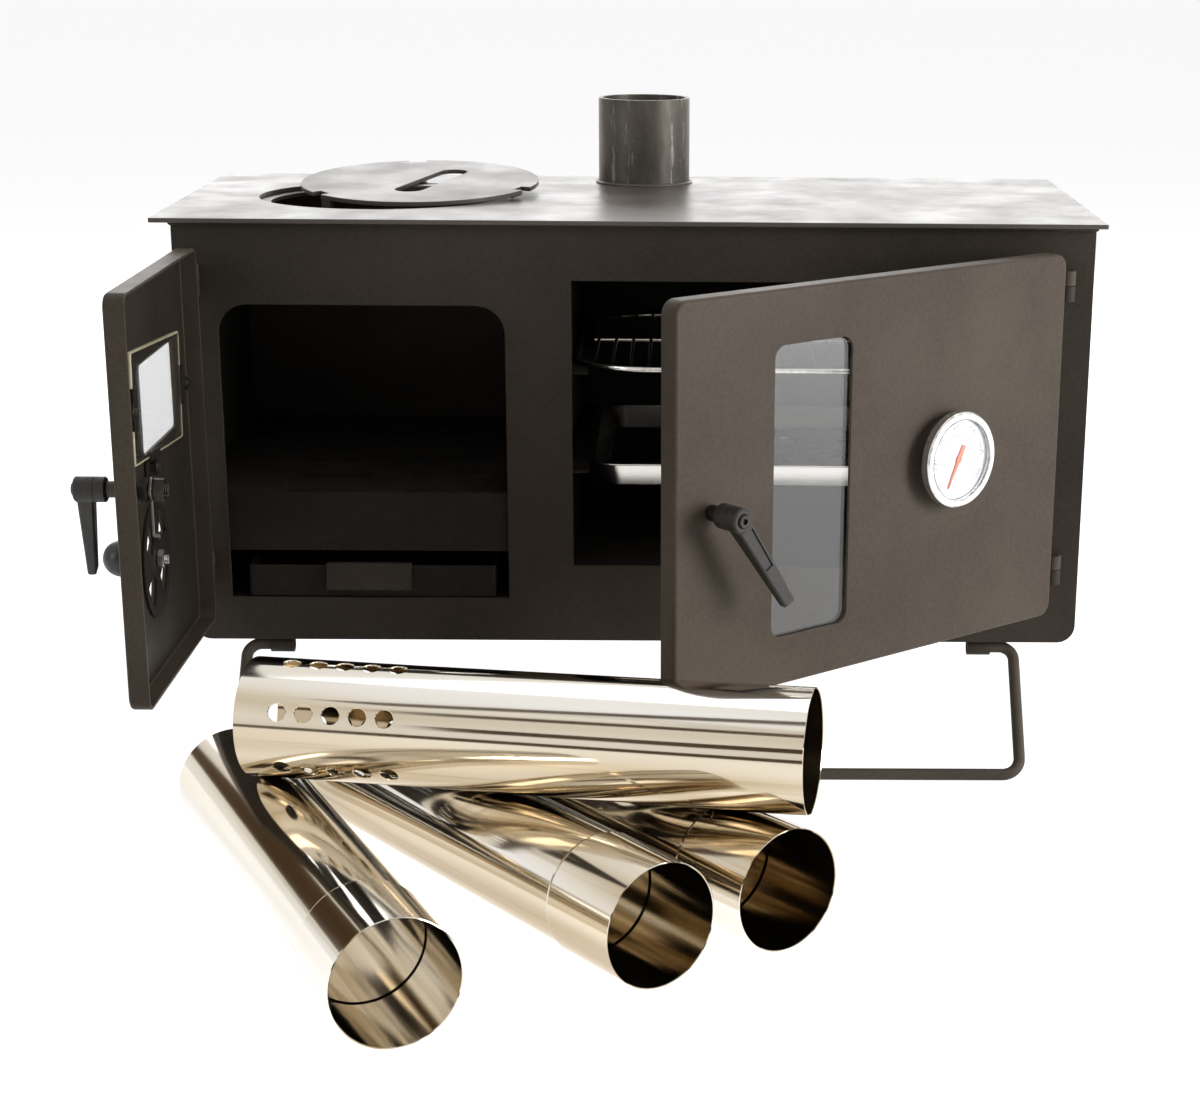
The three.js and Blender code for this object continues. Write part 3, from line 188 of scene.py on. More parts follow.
def sheet(outer, holes, z0, z1, edge=0.3, steps=3):
    """A plate between z0 and z1 with rounded edges. Its edge faces have material 1."""
    edge = min(edge, abs(z1 - z0) * 0.49)
    turns = [pi / 2 * k / steps for k in range(steps + 1)]
    profile = [(edge * (1 - sin(t)), z0 + edge * (1 - cos(t))) for t in turns]
    profile += [(edge * (1 - cos(t)), z1 - edge * (1 - sin(t))) for t in turns]
    points, faces = [], []
    low_ends, high_ends = [], []
    for loop in [outer] + [list(reversed(h)) for h in holes]:
        rows = [put(points, level(offset(loop, d), z)) for d, z in profile]
        faces += strips(rows)
        low_ends.append((offset(loop, edge), rows[0]))
        high_ends.append((offset(loop, edge), rows[-1]))
    sides = len(faces)
    faces += flat_fill(low_ends, z0) + flat_fill(high_ends, z1)
    return points, faces, [1] * sides + [0] * (len(faces) - sides)


def shell(outer, profile, holes, face_z, back_z, edge=0.35):
    """A folded tray: profile gives inset and height from its face round the rim to its back."""
    points = []
    rings = [offset(outer, d) for d, _ in profile]
    rows = [put(points, level(ring, z)) for ring, (_, z) in zip(rings, profile)]
    faces = strips(rows)
    fronts = [(rings[0], rows[0])]
    backs = [(rings[-1], rows[-1])]
    for hole in holes:
        loop = list(reversed(hole))
        cut = []
        for d, z in ((edge, face_z), (edge * 0.3, face_z - edge * 0.3), (0, face_z - edge),
                     (0, back_z + edge), (edge * 0.3, back_z + edge * 0.3), (edge, back_z)):
            ring = offset(loop, d)
            cut.append((ring, put(points, level(ring, z))))
        faces += strips([ids for _, ids in cut])
        fronts.append(cut[0])
        backs.append(cut[-1])
    faces += flat_fill(fronts, face_z)
    outside = len(faces)
    faces += flat_fill(backs, back_z)
    return points, faces, [0] * outside + [1] * (len(faces) - outside)


def untagged(points, faces):
    return points, faces, [0] * len(faces)


def lathe(profile, segments=64, closed=True):
    """A turned part about z; a profile that starts and ends on the axis isn't closed."""
    points, rows = [], []
    for r, z in profile:
        around = [(*polar(r, 2 * pi * k / segments), z) for k in range(segments)]
        rows.append(put(points, around if r >= 1e-6 else [(0, 0, z)]))
    return untagged(points, strips(rows + rows[:1] if closed else rows))


def loft(rings):
    """Skin over rings of equal count, closed at both ends."""
    points = []
    rows = [put(points, ring) for ring in rings]
    return untagged(points, strips(rows) + [tuple(rows[0]), tuple(rows[-1])])


def tube(path, radius, sides=12, closed=False):
    """A round bar along a path; radius may be one number or one for each point."""
    path = [Vector(p) for p in path]
    count = len(path)
    radii = radius if isinstance(radius, (list, tuple)) else [radius] * count
    normal = None
    points, rows = [], []
    for i, p in enumerate(path):
        before = path[i - 1] if closed or i else p
        after = path[(i + 1) % count] if closed or i < count - 1 else p
        forward = (after - before).normalized()
        if normal is None:
            normal = forward.orthogonal().normalized()
        normal = (normal - forward * normal.dot(forward)).normalized()
        other = forward.cross(normal)
        turns = [2 * pi * k / sides for k in range(sides)]
        ring = [p + (normal * cos(a) + other * sin(a)) * radii[i] for a in turns]
        rows.append(put(points, ring))
    faces = strips(rows + rows[:1] if closed else rows)
    if not closed:
        faces += [tuple(rows[0]), tuple(rows[-1])]
    return untagged(points, faces)


def rod(radius, z0, z1, edge=0.3, segments=32):
    edge = min(edge, radius * 0.5, abs(z1 - z0) * 0.45)
    profile = [(0, z0), (radius - edge, z0), (radius, z0 + edge), (radius, z1 - edge),
               (radius - edge, z1), (0, z1)]
    return lathe(profile, segments, False)


def block(x0, x1, y0, y1, z0, z1, edge=0.4, corner=0.4):
    return untagged(*sheet(rounded(x0, x1, y0, y1, corner, 3), [], z0, z1, edge)[:2])


def nut(radius, z0, z1, bore=0.0, turn=0.0):
    """A chamfered hexagon nut between z0 and z1, radius over its corners."""
    count = 48
    flat = radius * cos(pi / 6)
    face = flat * 0.94
    rings = []
    inner = max(bore, 0.6)
    for z, sign in ((z0, 1), (z1, -1)):
        edge, rim, hole = [], [], []
        for k in range(count):
            a = 2 * pi * k / count + turn
            local = (a - turn) % (pi / 3) - pi / 6
            r = flat / cos(local)
            hole.append((*polar(inner, a), z + sign * 0.2))
            rim.append((*polar(face, a), z))
            edge.append((*polar(r, a), z + sign * (r - face) * 0.55))
        rings.append([hole, rim, edge] if sign > 0 else [edge, rim, hole])
    points = []
    rows = [put(points, ring) for ring in rings[0] + rings[1]]
    return untagged(points, strips(rows + rows[:1]))


def thread(radius, z0, z1, pitch=1.25, depth=0.55):
    """A threaded stud, its ridges as rings."""
    profile = [(0, z0), (radius - depth * 1.4, z0)]
    z = z0 + pitch * 0.5
    while z < z1 - pitch * 0.5:
        profile += [(radius, z), (radius - depth, z + pitch * 0.5)]
        z += pitch
    profile += [(radius - depth, z1), (0, z1)]
    return lathe(profile, 24, False)


def placed(part, matrix, tag=None):
    points, faces, tags = part
    moved = [tuple(matrix @ Vector(p)) for p in points]
    return moved, faces, tags if tag is None else [tag] * len(faces)


def cleaned(mesh, reach, step):
    work = bmesh.new()
    work.from_mesh(mesh)
    bmesh.ops.remove_doubles(work, verts=work.verts, dist=reach)
    step(work)
    work.to_mesh(mesh)
    work.free()
    mesh.polygons.foreach_set("use_smooth", [True] * len(mesh.polygons))


def linked(name, data):
    thing = bpy.data.objects.new(name, data)
    scene.collection.objects.link(thing)
    return thing


def piece(name, parts, where, body, stuff, nodes=(), sharp=35, weighted=True):
    """One object from its parts, in place, riding on its body."""
    points, faces, tags = [], [], []
    for part in parts:
        base = len(points)
        points += part[0]
        faces += [tuple(i + base for i in f) for f in part[1]]
        tags += part[2]
    stuff = stuff if isinstance(stuff, (list, tuple)) else [stuff]
    mesh = bpy.data.meshes.new(name)
    mesh.from_pydata([tuple(where @ Vector(p)) for p in points], [], faces)
    for m in stuff:
        mesh.materials.append(m)
    for polygon, tag in zip(mesh.polygons, tags):
        polygon.material_index = min(tag, len(stuff) - 1)
    cleaned(mesh, 1e-7, lambda work: bmesh.ops.recalc_face_normals(work, faces=work.faces))
    mesh.set_sharp_from_angle(angle=radians(sharp))
    thing = linked(name, mesh)
    if weighted:
        smooth = thing.modifiers.new("normals", "WEIGHTED_NORMAL")
        smooth.keep_sharp = True
    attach(thing, body)
    if nodes:
        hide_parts(*([nodes] if isinstance(nodes, str) else nodes))
    return thing


def skin(node, body, stuff, width=0.5, segments=2):
    """A CAD node's shape with softened edges."""
    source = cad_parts[node]
    mesh = source.data.copy()
    mesh.name = node + "_skin"
    cleaned(mesh, 2e-6, lambda work: bmesh.ops.dissolve_limit(
        work, angle_limit=radians(1), verts=work.verts, edges=work.edges))
    mesh.materials.clear()
    mesh.materials.append(stuff)
    thing = linked(node + "_skin", mesh)
    soft = thing.modifiers.new("edges", "BEVEL")
    soft.width = width * 0.001
    soft.segments = segments
    soft.limit_method = "ANGLE"
    soft.angle_limit = radians(40)
    soft.harden_normals = True
    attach(thing, body)
    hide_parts(node)
    return thing


# Materials
def linear(*levels):
    """A colour of the picture, 0 to 255, as a linear one."""
    return (*(((c / 255 + 0.055) / 1.055) ** 2.4 for c in levels), 1)


def node(tree, kind, **settings):
    made = tree.nodes.new("ShaderNode" + kind)
    for key, value in settings.items():
        name = key.replace("_", " ")
        if name in made.inputs:
            made.inputs[name].default_value = value
        else:
            setattr(made, key, value)
    return made


def place(tree, stretch=(1, 1, 1), turn=(0, 0, 0)):
    """Object coordinates in turned axes, then stretched."""
    where = node(tree, "TexCoord")
    mapping = node(tree, "Mapping", vector_type="TEXTURE")
    mapping.inputs["Scale"].default_value = [1 / a for a in stretch]
    mapping.inputs["Rotation"].default_value = [radians(a) for a in turn]
    tree.links.new(where.outputs["Object"], mapping.inputs["Vector"])
    return mapping.outputs["Vector"]


def noise(tree, scale, detail=3.0, roughness=0.55, vector=None):
    made = node(tree, "TexNoise", Scale=scale, Detail=detail, Roughness=roughness)
    tree.links.new(vector if vector else place(tree), made.inputs["Vector"])
    return made.outputs["Fac"]


def ramp(tree, source, stops):
    made = node(tree, "ValToRGB")
    band = made.color_ramp
    while len(band.elements) < len(stops):
        band.elements.new(0.5)
    for element, (at, value) in zip(band.elements, stops):
        element.position = at
        element.color = value if isinstance(value, tuple) else (value, value, value, 1)
    tree.links.new(source, made.inputs["Fac"])
    return made.outputs["Color"]


def feed(tree, made, sources):
    for index, source in sources:
        if isinstance(source, (int, float, tuple)):
            made.inputs[index].default_value = source
        else:
            tree.links.new(source, made.inputs[index])


def blend(tree, amount, a, b):
    made = node(tree, "Mix", data_type="RGBA")
    feed(tree, made, ((0, amount), (6, a), (7, b)))
    return made.outputs[2]


def add(tree, a, b, kind="ADD"):
    made = node(tree, "Math", operation=kind)
    feed(tree, made, ((0, a), (1, b)))
    return made.outputs[0]


def bump(tree, height, distance, strength=1.0, under=None):
    made = node(tree, "Bump", Strength=strength, Distance=distance)
    tree.links.new(height, made.inputs["Height"])
    if under:
        tree.links.new(under, made.inputs["Normal"])
    return made.outputs["Normal"]


def material(name, color, metallic=0.0, roughness=0.5, specular=0.5):
    made = bpy.data.materials.new(name)
    made.use_nodes = True
    shader = made.node_tree.nodes["Principled BSDF"]
    for key, value in (("Base Color", color), ("Metallic", metallic), ("Roughness", roughness),
                       ("Specular IOR Level", specular)):
        shader.inputs[key].default_value = value
    made.diffuse_color = color
    return made, made.node_tree, shader


def dress(tree, shader, tone=None, gloss=None, normal=None):
    for source, name in ((tone, "Base Color"), (gloss, "Roughness"), (normal, "Normal")):
        if source:
            tree.links.new(source, shader.inputs[name])


def painted(name, dark, light, rough, speck=0.12, specular=0.12):
    """Satin heat-resistant paint: orange peel, faint mottling, worn pale specks."""
    made, tree, shader = material(name, light, 0.0, rough, specular)
    cloud = ramp(tree, noise(tree, 9, 4), [(0.3, 0.0), (0.7, 1.0)])
    fine = ramp(tree, noise(tree, 420, 3), [(0.35, 0.0), (0.65, 1.0)])
    mixed = add(tree, add(tree, cloud, 0.7, "MULTIPLY"), add(tree, fine, 0.3, "MULTIPLY"))
    tone = ramp(tree, mixed, [(0.15, dark), (0.85, light)])
    pale = tuple(min(1, c * 2.2) for c in light[:3]) + (1,)
    specks = ramp(tree, noise(tree, 900, 2, 0.7), [(0.70, 0.0), (0.80, speck)])
    tone = blend(tree, specks, tone, pale)
    gloss = ramp(tree, noise(tree, 26, 5), [(0.3, rough - 0.07), (0.7, rough + 0.07)])
    peel = bump(tree, noise(tree, 1100, 2), 0.00012, 0.5)
    dress(tree, shader, tone, gloss, bump(tree, noise(tree, 9, 1), 0.0006, 0.12, peel))
    return made


def steel(name, color, rough, grain=0.0, stretch=(60, 60, 3), depth=0.72):
    """Metal with drawn streaks and cloudy gloss."""
    made, tree, shader = material(name, color, 1.0, rough)
    along = place(tree, stretch)
    streaks = noise(tree, 6, 4, 0.55, along)
    darker = tuple(c * depth for c in color[:3]) + (1,)
    tone = ramp(tree, streaks, [(0.3, darker), (0.6, color)])
    gloss = ramp(tree, streaks, [(0.2, rough * 0.75), (0.8, min(1, rough * 1.35))])
    fine = bump(tree, noise(tree, 40, 3, 0.6, along), 0.00008, grain) if grain else None
    dress(tree, shader, tone, gloss, fine)
    return made


# The body, door, leg and inner paints are one stove paint; the copies differ only by painted light and
# painted shade.
body_paint = painted("body_paint", linear(62, 56, 50), linear(76, 69, 61), 0.46)
plate_paint = painted("plate_paint", linear(84, 77, 71), linear(100, 92, 85), 0.36, 0.06, 0.45)
# A darker copy of the body paint: painted shade on the inside face of the fire door.
inner_paint = painted("inner_paint", linear(50, 45, 40), linear(62, 56, 50), 0.5)
# A lighter copy of the body paint: painted light on the legs.
lit_leg_paint = painted("lit_leg_paint", linear(88, 80, 72), linear(104, 96, 86), 0.44)
soot_paint = painted("soot_paint", linear(34, 31, 28), linear(46, 42, 38), 0.6, 0.1)
# A lighter, warmer copy of the body paint: painted light on both door pans.
lit_door_paint = painted("lit_door_paint", linear(82, 73, 64), linear(98, 88, 78), 0.44)
wire_steel = steel("wire_steel", linear(225, 222, 216), 0.2)
tray_steel = steel("tray_steel", linear(238, 235, 230), 0.2, stretch=(3, 12, 12), depth=0.9)
tray_bottom = steel("tray_bottom", linear(96, 72, 56), 0.3, stretch=(12, 12, 3), depth=0.6)
zinc = steel("zinc", linear(178, 176, 172), 0.32, grain=0.3)
tongue_steel = steel("tongue_steel", linear(120, 114, 106), 0.32, grain=0.3)
dark_nut = steel("dark_nut", linear(70, 66, 62), 0.45, grain=0.3)
bezel_steel = steel("bezel_steel", linear(236, 236, 236), 0.22)


def flue_metal(name, turn):
    """Polished stainless steel. Its warm straw-to-brown tone is partly a real heat tint and partly painted
    reflection, and the thin dark brown streaks along it are painted reflections.
    """
    made, tree, shader = material(name, linear(240, 236, 228), 1.0, 0.09)
    # The broad warm tone is part straw heat tint and part painted reflection of warm brown surroundings.
    broad = noise(tree, 5, 2, 0.5, place(tree, (0.25, 5, 5), turn))
    tone = ramp(tree, broad, [(0.36, linear(240, 237, 232)), (0.48, linear(222, 213, 196)),
                              (0.62, linear(190, 172, 142))])
    # Thin dark brown streaks along the tube are painted reflections of dark surroundings.
    thin = noise(tree, 5, 3, 0.6, place(tree, (0.35, 26, 26), turn))
    dark = ramp(tree, thin, [(0.58, 0.0), (0.66, 0.22), (0.78, 0.45)])
    tone = blend(tree, dark, tone, linear(134, 112, 80))
    ripple = noise(tree, 3, 2, 0.5, place(tree, (0.6, 16, 16), turn))
    gloss = ramp(tree, thin, [(0.3, 0.06), (0.8, 0.14)])
    dress(tree, shader, tone, gloss, bump(tree, ripple, 0.0006, 0.25))
    return made


def moulded(name, tones, rough, specular, grain_scale, gloss_scale, gloss, depth, strength):
    """Fine grain for cast metal and plastic; tones are base, dark and light."""
    made, tree, shader = material(name, tones[0], 0.0, rough, specular)
    grain = noise(tree, grain_scale, 2)
    tone = ramp(tree, grain, [(0.3, tones[1]), (0.7, tones[2])])
    shine = ramp(tree, noise(tree, gloss_scale, 3), [(0.3, gloss[0]), (0.7, gloss[1])])
    dress(tree, shader, tone, shine, bump(tree, grain, depth, strength))
    return made


def glass(name, tint, index):
    made, tree, shader = material(name, tint, 0.0, 0.0, 0.5)
    shader.inputs["Transmission Weight"].default_value = 1.0
    shader.inputs["IOR"].default_value = index
    dress(tree, shader, gloss=ramp(tree, noise(tree, 30, 4), [(0.5, 0.0), (0.8, 0.04)]))
    return made


def pane_edge():
    made, tree, shader = material("pane_edge", linear(226, 214, 178), 0.0, 0.25, 0.5)
    shader.inputs["Transmission Weight"].default_value = 0.12
    tone = ramp(tree, noise(tree, 160, 3), [(0.3, linear(212, 198, 158)), (0.7, linear(244, 236, 210))])
    dress(tree, shader, tone, normal=bump(tree, noise(tree, 900, 2), 0.0002, 0.5))
    return made


def dial_metal():
    made, tree, shader = material("dial_metal", linear(216, 217, 219), 0.6, 0.34)
    lines = noise(tree, 8, 3, 0.6, place(tree, (40, 40, 1500)))
    tone = ramp(tree, lines, [(0.3, linear(196, 197, 199)), (0.7, linear(226, 227, 229))])
    dress(tree, shader, tone, normal=bump(tree, lines, 0.00004, 0.3))
    return made


def ink(name, color):
    made, tree, shader = material(name, color, 0.0, 0.5)
    paler = tuple(min(1, c * 1.5 + 0.003) for c in color[:3]) + (1,)
    dress(tree, shader, ramp(tree, noise(tree, 1500, 2), [(0.3, color), (0.7, paler)]))
    return made


def raw_steel():
    """Mill steel that was handled: cloudy, with pale scuffs and runs along z."""
    made, tree, shader = material("collar_steel", linear(84, 78, 71), 0.55, 0.42, 0.5)
    cloud = noise(tree, 3, 5, 0.6, place(tree, (14, 14, 5)))
    tone = ramp(tree, cloud, [(0.3, linear(62, 57, 51)), (0.7, linear(104, 98, 90))])
    runs = noise(tree, 4, 5, 0.65, place(tree, (34, 34, 5)))
    marks = ramp(tree, runs, [(0.60, 0.0), (0.70, 0.75)])
    tone = blend(tree, marks, tone, linear(176, 170, 160))
    flecks = ramp(tree, noise(tree, 240, 4, 0.7), [(0.66, 0.0), (0.74, 0.7)])
    tone = blend(tree, flecks, tone, linear(190, 186, 178))
    dress(tree, shader, tone, ramp(tree, runs, [(0.3, 0.36), (0.7, 0.52)]), bump(tree, runs, 0.0002, 0.3))
    return made


collar_steel = raw_steel()
lever_casting = moulded("lever_casting", (linear(40, 38, 36), linear(33, 31, 29), linear(50, 47, 44)),
                        0.5, 0.45, 1400, 300, (0.42, 0.58), 0.0001, 0.5)
knob_moulding = moulded("knob_moulding", (linear(34, 32, 31), linear(28, 27, 26), linear(42, 40, 38)),
                        0.42, 0.5, 700, 120, (0.36, 0.5), 0.00006, 0.3)
clear_pane = glass("clear_pane", (0.995, 0.995, 0.998, 1), 1.58)
lens_glass = glass("lens_glass", (0.985, 0.985, 0.985, 1), 1.46)
edge_glass = pane_edge()
dial_face = dial_metal()
dial_ink = ink("dial_ink", linear(34, 34, 36))
needle_red = ink("needle_red", linear(214, 84, 44))

# Body
front_holes = [
    rounded(-270.2, -82.6, 29.9, 228, [0, 0, 19, 19], 12),
    rounded(-38.7, 259, 53, 244.8, 0),
]
body_outline = rounded(-297.7, 303.7, 0, 281.6, [12, 12, 0, 0], 12)
piece("front_sheet", [sheet(body_outline, front_holes, -2.2, 0, 0.5)], UPRIGHT, "stove",
      body_paint, "front_plate")
wrap_inner = rounded(-295.7, 301.7, 2, 281.6, [10, 10, 0, 0], 12)
wrap_loop = body_outline[-1:] + body_outline[:-1] + list(reversed(wrap_inner[-1:] + wrap_inner[:-1]))
piece("wrap_sheet", [sheet(wrap_loop, [], -265.9, -2.1, 0.2)], UPRIGHT, "stove",
      body_paint, "body_wrap")
piece("back_sheet", [sheet(body_outline, [], -268, -265.8, 0.5)], UPRIGHT, "stove",
      body_paint, "back_plate")

plate_outline = rounded(-310, 310, -9.5, 272.7, [1.2, 1.2, 10, 10], 8)
plate_holes = [circle(*HOB, 84, 128), circle(*COLLAR, 30.25, 64)]
piece("hob_plate", [sheet(plate_outline, plate_holes, 281.7, 284.7, 0.55)], ROW, "stove",
      plate_paint, "top_plate")


def bead(path, size, seed, closed=False):
    """A weld bead along a path, with its ripples."""
    radii = [
        size * (1 + 0.10 * sin(k * 2.4 + seed) + 0.06 * sin(k * 0.61 + 2 * seed))
        for k in range(len(path))
    ]
    return tube(path, radii, 10, closed)


front_bead = [(-296.5 + k * 1.2, -0.6, 280.6) for k in range(500)]
left_bead = [(-298.0, 1 + k * 1.2, 280.6) for k in range(222)]
right_bead = [(304.0, 1 + k * 1.2, 280.6) for k in range(222)]
piece("plate_welds", [bead(front_bead, 1.7, 0.3), bead(left_bead, 1.5, 1.1), bead(right_bead, 1.5, 2.0)],
      ROW, "stove", body_paint, (), 60, False)

ledge = soften([(76, 278.4), (92, 278.4), (92, 281.4), (76, 281.4)], 0.4, 3)
piece("hob_ledge_ring", [placed(lathe(ledge, 128), move(*HOB, 0))], ROW, "stove",
      plate_paint, "hob_ledge")
collar = soften([(30.25, 285), (33.25, 285), (33.25, 345.7), (30.25, 345.7)], 0.5, 3)
ring_bead = [(5.5 + 34.0 * cos(a * 0.03), 231 + 34.0 * sin(a * 0.03), 285.2) for a in range(209)]
piece("flue_collar_tube", [placed(lathe(collar, 128), move(*COLLAR, 0))], ROW, "stove",
      collar_steel, "flue_collar")
piece("collar_weld", [bead(ring_bead, 1.5, 0.7, True)], ROW, "stove",
      plate_paint, (), 60, False)

for name in ("fire_floor", "fire_partition", "fire_grate", "oven_liner"):
    skin(name, "stove", soot_paint, 0.5)
for side in ("front_left", "front_right", "rear_left", "rear_right"):
    skin("leg_eye_" + side, "stove", body_paint, 0.3)


# Hinges
def hinge_half(x, foot):
    barrel = soften([(0, 0), (5.5, 0), (5.5, 10), (2.5, 10), (2.5, 20), (0, 20)],
                    [0, 0.5, 0.5, 0, 0.5, 0], 3, False)
    parts = [lathe(barrel, 32, False), block(-3, 3, 0, 6.9, 0.3, 9.7, 0.5)]
    weld = [(s * 3.2, 6.4, 0.6 + k * 1.1) for s in (-1, 1) for k in range(9)]
    parts += [bead(weld[:9], 1.1, foot), bead(weld[9:], 1.1, foot + 1)]
    return [placed(p, move(x, PIN_Y, foot)) for p in parts]


HINGE_FEET = 44, 235
for word, x in (("fire", -PIN_X), ("oven", PIN_X)):
    for tier, foot in zip(("lower", "upper"), HINGE_FEET):
        piece(f"{word}_hinge_{tier}_half", hinge_half(x, foot), ROW, "stove",
              body_paint, f"{word}_hinge_{tier}")


# Doors
def mirrored(side, x0, x1, y0, y1, corner, steps=8):
    a, b = (x0, x1) if side > 0 else (-x1, -x0)
    return rounded(a, b, y0, y1, corner, steps)


def pan_profile(bend=2.4, depth=12.8, thick=2.0):
    out = []
    for k in range(7):
        a = pi / 2 * k / 6
        out.append((bend * (1 - sin(a)), -bend * (1 - cos(a))))
    out += [(0, -depth + 0.5), (0.15, -depth + 0.15), (0.5, -depth)]
    out += [(thick - 0.5, -depth), (thick - 0.15, -depth + 0.15), (thick, -depth + 0.5)]
    for k in range(4):
        a = pi / 2 * k / 3
        out.append((thick + 0.8 * (1 - cos(a)), -thick - 0.8 * (1 - sin(a))))
    return out


def knuckles(side):
    parts = []
    for foot in HINGE_FEET:
        y0, y1 = foot + 10.3, foot + 20
        ring = soften([(2.8, y0), (5.5, y0), (5.5, y1), (2.8, y1)], 0.5, 3)
        upright = move(-side * 8, 0, -6.6) @ spin(-90, "X")
        parts.append(placed(lathe(ring, 32), upright))
        a, b = sorted((-side * 5.2, side * 1.0))
        parts.append(block(a, b, y0, y1, -8.1, -5.1, 0.4))
        weld = [(0.2 * side, y0 + k * 1.05, -4.9) for k in range(10)]
        parts.append(bead(weld, 1.0, foot))
    return parts


def air_sector(index, inner, outer, x=0, y=0):
    middle = 90 * index + 45
    loop = []
    for r, a0, a1 in ((outer, middle - 22, middle + 22), (inner, middle + 22, middle - 22)):
        for k in range(13):
            a = radians(a0 + (a1 - a0) * k / 12)
            loop.append(Vector((x + r * cos(a), y + r * sin(a))))
    return loop


fire_outline = mirrored(1, 0, 206.3, 19, 267.2, 9)
fire_holes = [rounded(50, 143.5, 161, 215.5, 4), circle(184, 150, 4.5, 32), circle(*AIR_CENTRE, 3.4, 24)]
fire_holes += [air_sector(i, 13, 30, *AIR_CENTRE) for i in range(4)]
# The fire door's face wears the lighter copy of the body paint, which is painted light. Its inside wears
# the darker copy, which is painted shade.
piece("fire_door_shell", [shell(fire_outline, pan_profile(), fire_holes, 0, -2)] + knuckles(1), FIRE,
      "fire_door", [lit_door_paint, inner_paint], "fire_door_pan")
oven_outline = mirrored(-1, 0, 333, 25, 267.2, 9)
oven_holes = [mirrored(-1, 192.6, 255.9, 55.5, 234, 8), circle(-305, 142, 4.5, 32),
              circle(*DIAL_CENTRE, 4.4, 32)]
# The oven door wears the lighter copy of the body paint, which is painted light.
piece("oven_door_shell", [shell(oven_outline, pan_profile(), oven_holes, 0, -2)] + knuckles(-1), OVEN,
      "oven_door", lit_door_paint, "oven_door_pan")


def pane(name, width, height, x, y, turn, where, body, nodes, edge=0.4):
    part = sheet(rounded(-width / 2, width / 2, -height / 2, height / 2, 2.5, 6), [], -5.3, -2.3, edge)
    part = placed(part, move(x, y, 0) @ spin(turn, "Z"))
    thing = piece(name, [part], where, body, [clear_pane, edge_glass], nodes, 30)
    thing.visible_shadow = False
    return thing


pane("fire_pane", 135, 68, 100.7, 189.1, 4, FIRE, "fire_door", "fire_door_glass", 1.2)
pane("oven_pane", 86, 206, -224.25, 144.75, 0, OVEN, "oven_door", "oven_door_glass")


def clip(x, y, turn, lip):
    profile = soften([(-11, -2.3), (-0.3, -2.3), (-0.3, -5.6), (lip, -5.6), (lip, -7.1), (-1.8, -7.1),
                      (-1.8, -3.8), (-11, -3.8)], [0.4, 0.5, 0.6, 0.4, 0.4, 1.4, 0.5, 0.4], 3)
    strip = sheet(list(reversed(profile)), [], -12.5, 12.5, 0.3)
    lie = move(x, y, 0) @ spin(turn, "Z")
    screw = (nut(5, -7.8, -3.8, 2.5), thread(2.5, -9.6, -3.8, 0.8, 0.35))
    return [placed(strip, lie @ spin(90, "X"), 0)] + [placed(p, lie @ move(-6.4, 0, 0), 1) for p in screw]


def on_glass(along, up, x=100.7, y=189.1, turn=4.0):
    c, s = cos(radians(turn)), sin(radians(turn))
    return x + along * c - up * s, y + along * s + up * c


for side, where, lip, clips in (
    ("fire", FIRE, 4.5, (("hinge", on_glass(-67.5, 0), 4), ("free", on_glass(67.5, 0), 184),
                         ("low", on_glass(20.25, -34), 94))),
    ("oven", OVEN, 9, (("hinge_low", (-181.25, 82.95), 180), ("hinge_high", (-181.25, 206.55), 180),
                       ("free_low", (-267.25, 82.95), 0), ("free_high", (-267.25, 206.55), 0))),
):
    for word, (x, y), turn in clips:
        piece(f"{side}_clip_{word}", clip(x, y, turn, lip), where, f"{side}_door",
              [soot_paint, dark_nut], f"{side}_glass_clip_{word}")


# Latches
def lever_arm():
    """The raked, tapering arm with its groove, as sections along -y."""
    top0, slope = 27.1, 4.2 / 59.5
    stations = [-3.0, -5.5, -8.6, -9.2, -18, -28, -36.4, -37.0, -46, -56, -63.6, -64.5, -65.0]
    rings = []
    for y in stations:
        t = (-y - 5.5) / 59.5
        wide = (11.5 + (9.0 - 11.5) * t) / 2
        top = top0 + slope * (-y - 5.5)
        thick = 9.8 + (5.5 - 9.8) * max(0, t)
        pinch = {-64.5: 0.95, -65.0: 0.84}.get(y, 1.0)
        wide *= pinch
        mid = top - thick / 2
        half = thick / 2 * pinch
        depth = 1.0 if -36.7 < y < -9.0 else 0.0
        r = min(1.6, half * 0.6, wide * 0.6)
        g = wide - 2.3
        corners = []
        for sx, sz, a0 in ((1, -1, 270), (1, 1, 0), (-1, 1, 90), (-1, -1, 180)):
            for a in (radians(a0 + 22.5 * k) for k in range(5)):
                across, up = polar(r, a)
                corners.append((sx * (wide - r) + across, y, mid + sz * (half - r) + up))
        groove = [(g + 0.25, y, mid + half), (g, y, mid + half - depth), (-g, y, mid + half - depth),
                  (-g - 0.25, y, mid + half)]
        rings.append(corners[:10] + groove + corners[10:])
    return loft(rings)


